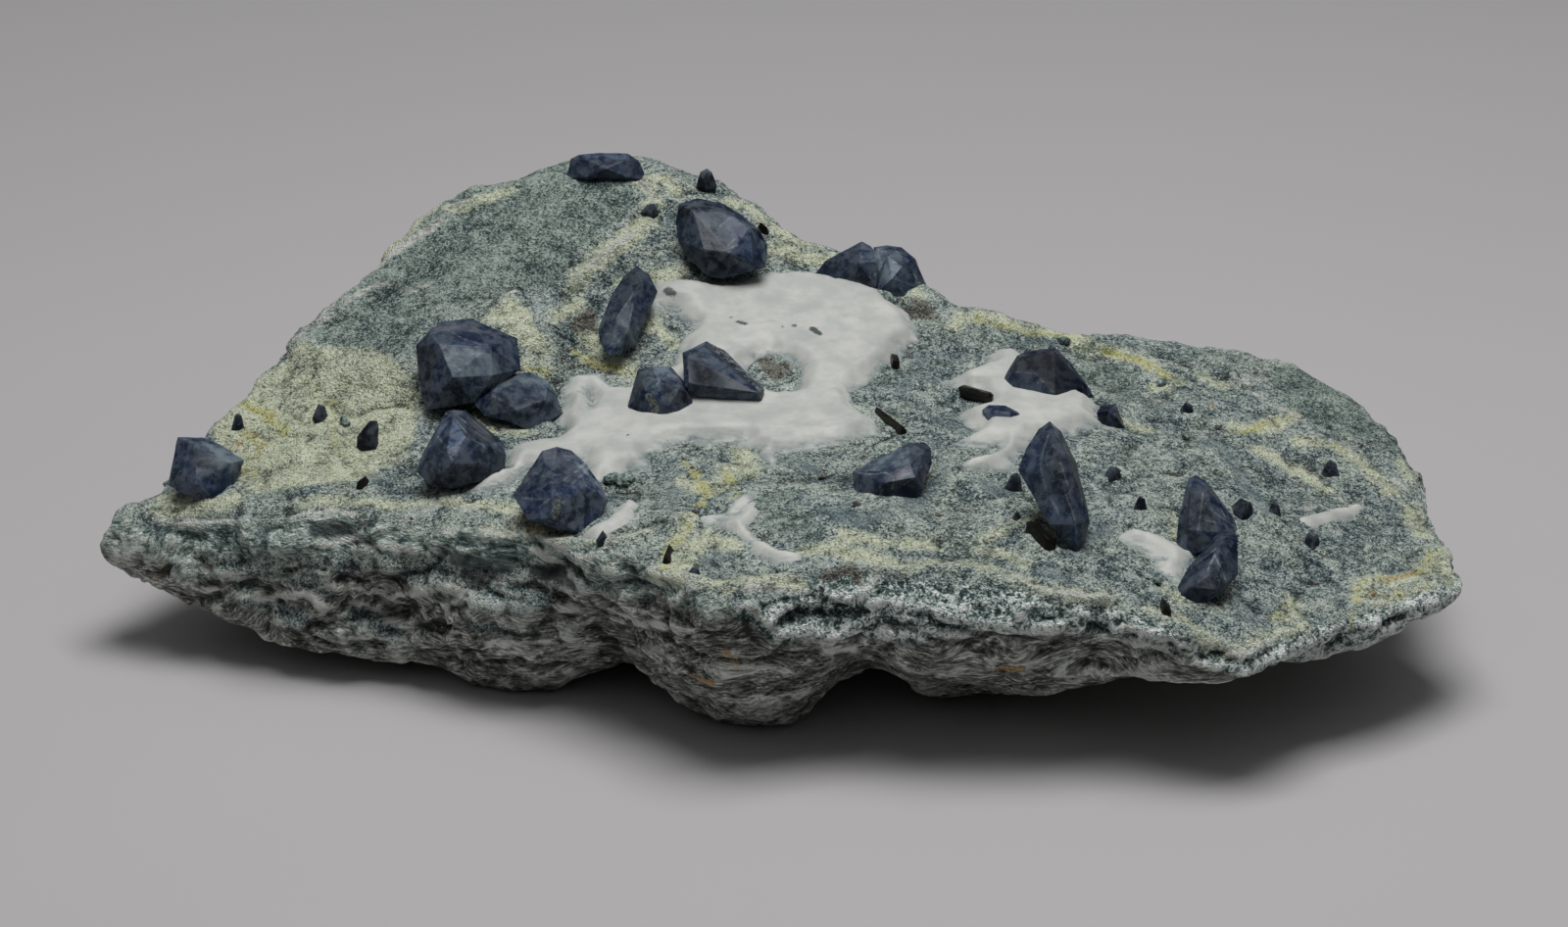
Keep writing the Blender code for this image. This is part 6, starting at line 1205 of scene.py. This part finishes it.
def natrolite_piece(name, outline, thickness, island, finish, spacing):
    """One patch of natrolite: a skin laid on the rock that dips under the rough rock at its border."""
    moved = shifted_outline(outline)
    low, high = np.min(moved, axis=0) - GRID_MARGIN, np.max(moved, axis=0) + GRID_MARGIN
    size = high - low
    bm = bmesh.new()
    thin = bm.verts.layers.float.new("thin")
    bmesh.ops.create_grid(bm, x_segments=int(size[0] / spacing), y_segments=int(size[1] / spacing), size=0.5)
    bmesh.ops.scale(bm, vec=(size[0], size[1], 1.0), verts=bm.verts)
    bmesh.ops.translate(bm, vec=(low[0] + size[0] / 2, low[1] + size[1] / 2, 0.0), verts=bm.verts)
    at = np.array([vert.co for vert in bm.verts])
    inside = patch_depth(at, outline, island)
    half = max(inside.max(), 0.6)
    full = min(1.0, 0.35 + half / 6.0)
    inside += 0.6 * lumps(at, 2.8, 4.0, 3, (0.5, 1.0, 1.0)) + 0.2 * lumps(at, 0.9, 6.0, 2)
    flat = np.column_stack((at[:, :2], np.zeros(len(at))))
    thinned = painted(flat, plan_strokes("thinned"), 1.1)
    rise = ease((inside + 1.0) / min(half * 0.7 + 1.0, 3.6)) * (1.0 - 0.72 * ease(thinned))
    swell = 0.25 * lumps(at, 7.0, 6.0, 2) + 0.04 * lumps(at, 2.2, 9.0, 2)
    gone = []
    for vert, deep, share, extra in zip(bm.verts, inside, rise, swell):
        ground = drop(Rock.smooth_tree, vert.co.x, vert.co.y) if deep > -SKIN_MARGIN else None
        if ground is None:
            gone.append(vert)
        else:
            height = full * thickness * (0.45 + 0.55 * share) + 0.45 + full * extra
            vert.co.z = ground - SKIN_SUNK + share * height
    for vert, share in zip(bm.verts, rise):
        vert[thin] = 1.0 - share
    bmesh.ops.delete(bm, geom=gone, context="VERTS")
    made = bmesh.ops.extrude_face_region(bm, geom=bm.faces[:])
    below = [item for item in made["geom"] if isinstance(item, bmesh.types.BMVert)]
    bmesh.ops.translate(bm, vec=(0.0, 0.0, -SKIN_THICKNESS), verts=below)
    bmesh.ops.recalc_face_normals(bm, faces=bm.faces)
    for face in bm.faces:
        face.smooth = True
    mesh = to_mesh(bm, name)
    paint_rock(mesh)
    at = points_of(mesh)[0]
    at[:, 2] = 0.0
    write_mark(mesh, "fleck", painted(at, plan_strokes("fleck"), 0.3))
    return new_object("white_" + name, mesh, finish)


class SPECIMEN_OT_natrolite(bpy.types.Operator):
    """Lays the patches of white natrolite over the rock"""
    bl_idname = "specimen.natrolite"
    bl_label = "Natrolite"

    def execute(self, context):
        if Rock.smooth_tree is None:
            raise RuntimeError("the rock comes before the natrolite")
        finish = natrolite_finish()
        spacing = settings().natrolite.spacing * TO_MM
        for name, (outline, thickness, island) in NATROLITE.items():
            piece = natrolite_piece(name, outline, thickness, island, finish, spacing)
            hand_over(piece, "natrolite", name)
        return {"FINISHED"}


def crystal_piece(node, prefix, finish, edge, sink, grain):
    """A crystal with worn edges and slightly wavy facets whose foot runs on into the rock."""
    bm = merged(node)
    if node in ADDED_CORNERS:
        corners = [vert.co.copy() for vert in bm.verts] + ADDED_CORNERS[node]
        bm.clear()
        for corner in corners:
            bmesh.ops.create_vert(bm, co=corner)
        hull = bmesh.ops.convex_hull(bm, input=bm.verts[:])
        inner = {item for item in hull["geom_interior"] + hull["geom_unused"]
                 if isinstance(item, bmesh.types.BMVert)}
        bmesh.ops.delete(bm, geom=list(inner), context="VERTS")
    bmesh.ops.dissolve_limit(bm, angle_limit=FLAT_ANGLE, verts=bm.verts, edges=bm.edges)
    worn = bm.verts.layers.float.new("worn")
    facet = bm.faces.layers.int.new("facet")
    for number, face in enumerate(bm.faces):
        face[facet] = number
    foot = set()
    for vert in bm.verts:
        near = Rock.plain_tree.find_nearest(vert.co * MM)
        if near[3] * TO_MM < FOOT_REACH:
            foot.add(vert)
    bmesh.ops.translate(bm, vec=(0.0, 0.0, -sink), verts=list(foot))
    edges = [e for e in bm.edges if not (e.verts[0] in foot and e.verts[1] in foot)
             and len(e.link_faces) == 2 and e.calc_face_angle() > WORN_ANGLE]
    if edge > 0.0 and edges:
        made = bmesh.ops.bevel(bm, geom=edges, offset=edge, offset_type="OFFSET", segments=2, profile=0.5,
                               affect="EDGES", clamp_overlap=True, material=-1)
        for face in made["faces"]:
            for vert in face.verts:
                vert[worn] = 1.0
    bmesh.ops.triangulate(bm, faces=bm.faces)
    for halving in range(6):
        long = [e for e in bm.edges if e.calc_length() > grain]
        if not long:
            break
        bmesh.ops.subdivide_edges(bm, edges=long, cuts=1, use_grid_fill=True)
        bmesh.ops.triangulate(bm, faces=bm.faces)
    for face in bm.faces:
        face.smooth = True
    mesh = to_mesh(bm, node)
    at, facing = points_of(mesh)
    wave = 0.06 * lumps(at, 3.0, 4.0, 2) + 0.035 * broken(at, 2.6, 12.0)
    write_points(mesh, at + facing * wave[:, None])
    mesh.set_sharp_from_angle(angle=SHADE_ANGLE)
    facets = numbers_of(mesh.attributes["facet"].data, "value")
    corners = numbers_of(mesh.polygons, "vertices", 3)
    marks = CRYSTAL_MARKS.get(node, {})
    for name, soft in CRYSTAL_SOFT.items():
        strokes = [[(*spot, VEIN_RADIUS)[:4] for spot in rows] for rows in marks.get(name, [])]
        # Crystals without marks of their own, the small ones, are painted deep all over: painted shade against
        # the light box's reflection
        plain = 0.6 if name == "deep" and not marks else 0.0
        values = np.maximum(plain, painted(at, strokes, soft))
        write_mark(mesh, name, values)
        if name in FACET_TONES:
            here = values[corners].reshape(-1, 3).mean(1)
            means = np.bincount(facets, here) / np.maximum(np.bincount(facets), 1)
            write_mark(mesh, name + "_facet", means[facets], "FACE")
    tone = np.sin(facets * 12.9898 + len(node)) * 437.58 % 1.0
    write_mark(mesh, "tone", tone - CRYSTAL_DEPTH.get(node, 0.0), "FACE")
    return new_object(prefix + node, mesh, finish)


def dress_crystals(nodes, prefix, slot, finish, edge, sink, grain):
    """Make and hand over a group of like crystals."""
    for node in nodes:
        hand_over(crystal_piece(node, prefix, finish, edge, sink, grain), slot, node)


def nodes_called(start):
    """The CAD nodes whose names start the same way."""
    return sorted(name for name in NODES if name.startswith(start))


class SPECIMEN_OT_chips(bpy.types.Operator):
    """Adds the small brown grains and the gray-green rock chips on the upper face"""
    bl_idname = "specimen.chips"
    bl_label = "Grains and chips"

    def execute(self, context):
        if Rock.smooth_tree is None:
            raise RuntimeError("the rock comes before its chips")
        chips_piece("brown_grains", BROWN_GRAINS, BROWN)
        chips_piece("rock_chips", ROCK_CHIPS, GREEN)
        return {"FINISHED"}


class SPECIMEN_OT_large_benitoite(bpy.types.Operator):
    """Dresses the large benitoite crystals"""
    bl_idname = "specimen.large_benitoite"
    bl_label = "Large benitoite"

    def execute(self, context):
        s = settings().crystals
        Rock.benitoite = benitoite_finish()
        dress_crystals(CRYSTAL_MARKS, "blue_", "benitoite", Rock.benitoite, s.edge * TO_MM, s.sink * TO_MM,
                       LARGE_GRAIN)
        return {"FINISHED"}


class SPECIMEN_OT_small_benitoite(bpy.types.Operator):
    """Dresses the small benitoite grains"""
    bl_idname = "specimen.small_benitoite"
    bl_label = "Small benitoite"

    def execute(self, context):
        if Rock.benitoite is None:
            raise RuntimeError("the large crystals come before the small ones")
        sink = settings().crystals.sink * SMALL_SHARE * TO_MM
        dress_crystals(nodes_called("benitoite_small"), "blue_", "benitoite", Rock.benitoite, SMALL_EDGE, sink,
                       SMALL_GRAIN)
        return {"FINISHED"}


class SPECIMEN_OT_neptunite(bpy.types.Operator):
    """Dresses the black neptunite prisms"""
    bl_idname = "specimen.neptunite"
    bl_label = "Neptunite"

    def execute(self, context):
        dress_crystals(nodes_called("neptunite"), "black_", "neptunite", neptunite_finish(), PRISM_EDGE,
                       PRISM_SINK, PRISM_GRAIN)
        return {"FINISHED"}


def soft_light(name, power, size, place, target):
    """A soft box in the studio."""
    lamp = bpy.data.lights.new(name, "AREA")
    lamp.shape = "RECTANGLE"
    lamp.size, lamp.size_y = size
    lamp.energy = power
    obj = bpy.data.objects.new(name, lamp)
    obj.location = place
    obj.rotation_euler = (Vector(target) - Vector(place)).to_track_quat("-Z", "Y").to_euler()
    bpy.context.scene.collection.objects.link(obj)


def studio_sky(low, high):
    """A sky that is dark at the horizon and pale overhead."""
    world = bpy.data.worlds.new("studio")
    w = Wires(world, "Generated")
    up = w.node("ShaderNodeSeparateXYZ", None, {"Vector": w.place}, "Z")
    strength = w.node("ShaderNodeMapRange", None, {"Value": up, "From Min": SKY_RISE[0],
                                                   "From Max": SKY_RISE[1], "To Min": low, "To Max": high})
    sky = w.node("ShaderNodeBackground", None, {"Color": SKY_COLOUR, "Strength": strength})
    w.node("ShaderNodeOutputWorld", None, {"Surface": sky})
    return world


class SPECIMEN_OT_stage(bpy.types.Operator):
    """Sets the floor, the lights and the camera"""
    bl_idname = "specimen.stage"
    bl_label = "Stage"

    def execute(self, context):
        s = settings().stage
        bm = bmesh.new()
        bmesh.ops.create_grid(bm, x_segments=8, y_segments=8, size=FLOOR_REACH_MM)
        new_object("floor", to_mesh(bm, "floor"), floor_finish())
        scene = context.scene
        scene.view_settings.view_transform = "Standard"
        scene.world = studio_sky(SKY_LOW, s.sky)
        soft_light("overhead box", s.power, BOX_SIZE, BOX_PLACE, BOX_TARGET)
        lens = bpy.data.cameras.new("camera")
        lens.lens = s.lens
        lens.sensor_width = 36.0
        lens.clip_start = 0.01
        lens.clip_end = 50.0
        camera = bpy.data.objects.new("camera", lens)
        back = Vector((0.0, -math.cos(s.height), math.sin(s.height)))
        camera.location = Vector(LOOK_AT) + back * s.distance
        camera.rotation_euler = back.to_track_quat("Z", "Y").to_euler()
        scene.collection.objects.link(camera)
        scene.camera = camera
        return {"FINISHED"}


class SPECIMEN_PT_panel(bpy.types.Panel):
    """The specimen's pieces, in the order they are made"""
    bl_idname = "SPECIMEN_PT_panel"
    bl_label = "Specimen"
    bl_space_type = "VIEW_3D"
    bl_region_type = "UI"
    bl_category = "Specimen"

    def draw(self, context):
        for operator in PIECES:
            self.layout.operator(operator.bl_idname)


class SpecimenSettings(bpy.types.PropertyGroup):
    """Everything that may be changed, kept with the scene"""
    rock: PointerProperty(type=RockSettings)
    natrolite: PointerProperty(type=NatroliteSettings)
    crystals: PointerProperty(type=CrystalSettings)
    stage: PointerProperty(type=StageSettings)


PIECES = (SPECIMEN_OT_stage, SPECIMEN_OT_rock, SPECIMEN_OT_natrolite, SPECIMEN_OT_chips,
          SPECIMEN_OT_large_benitoite, SPECIMEN_OT_small_benitoite, SPECIMEN_OT_neptunite)
CLASSES = (RockSettings, NatroliteSettings, CrystalSettings, StageSettings, SpecimenSettings, *PIECES,
           SPECIMEN_PT_panel)


def register():
    """Make the panel, its operators and their settings known."""
    for item in CLASSES:
        bpy.utils.register_class(item)
    bpy.types.Scene.specimen = PointerProperty(type=SpecimenSettings)


def unregister():
    """Take them away again."""
    del bpy.types.Scene.specimen
    for item in reversed(CLASSES):
        bpy.utils.unregister_class(item)


def main():
    """Make every piece in order."""
    register()
    bpy.ops.specimen.stage()
    bpy.ops.specimen.rock()
    bpy.ops.specimen.natrolite()
    bpy.ops.specimen.chips()
    bpy.ops.specimen.large_benitoite()
    bpy.ops.specimen.small_benitoite()
    bpy.ops.specimen.neptunite()


if __name__ == "__main__":
    main()
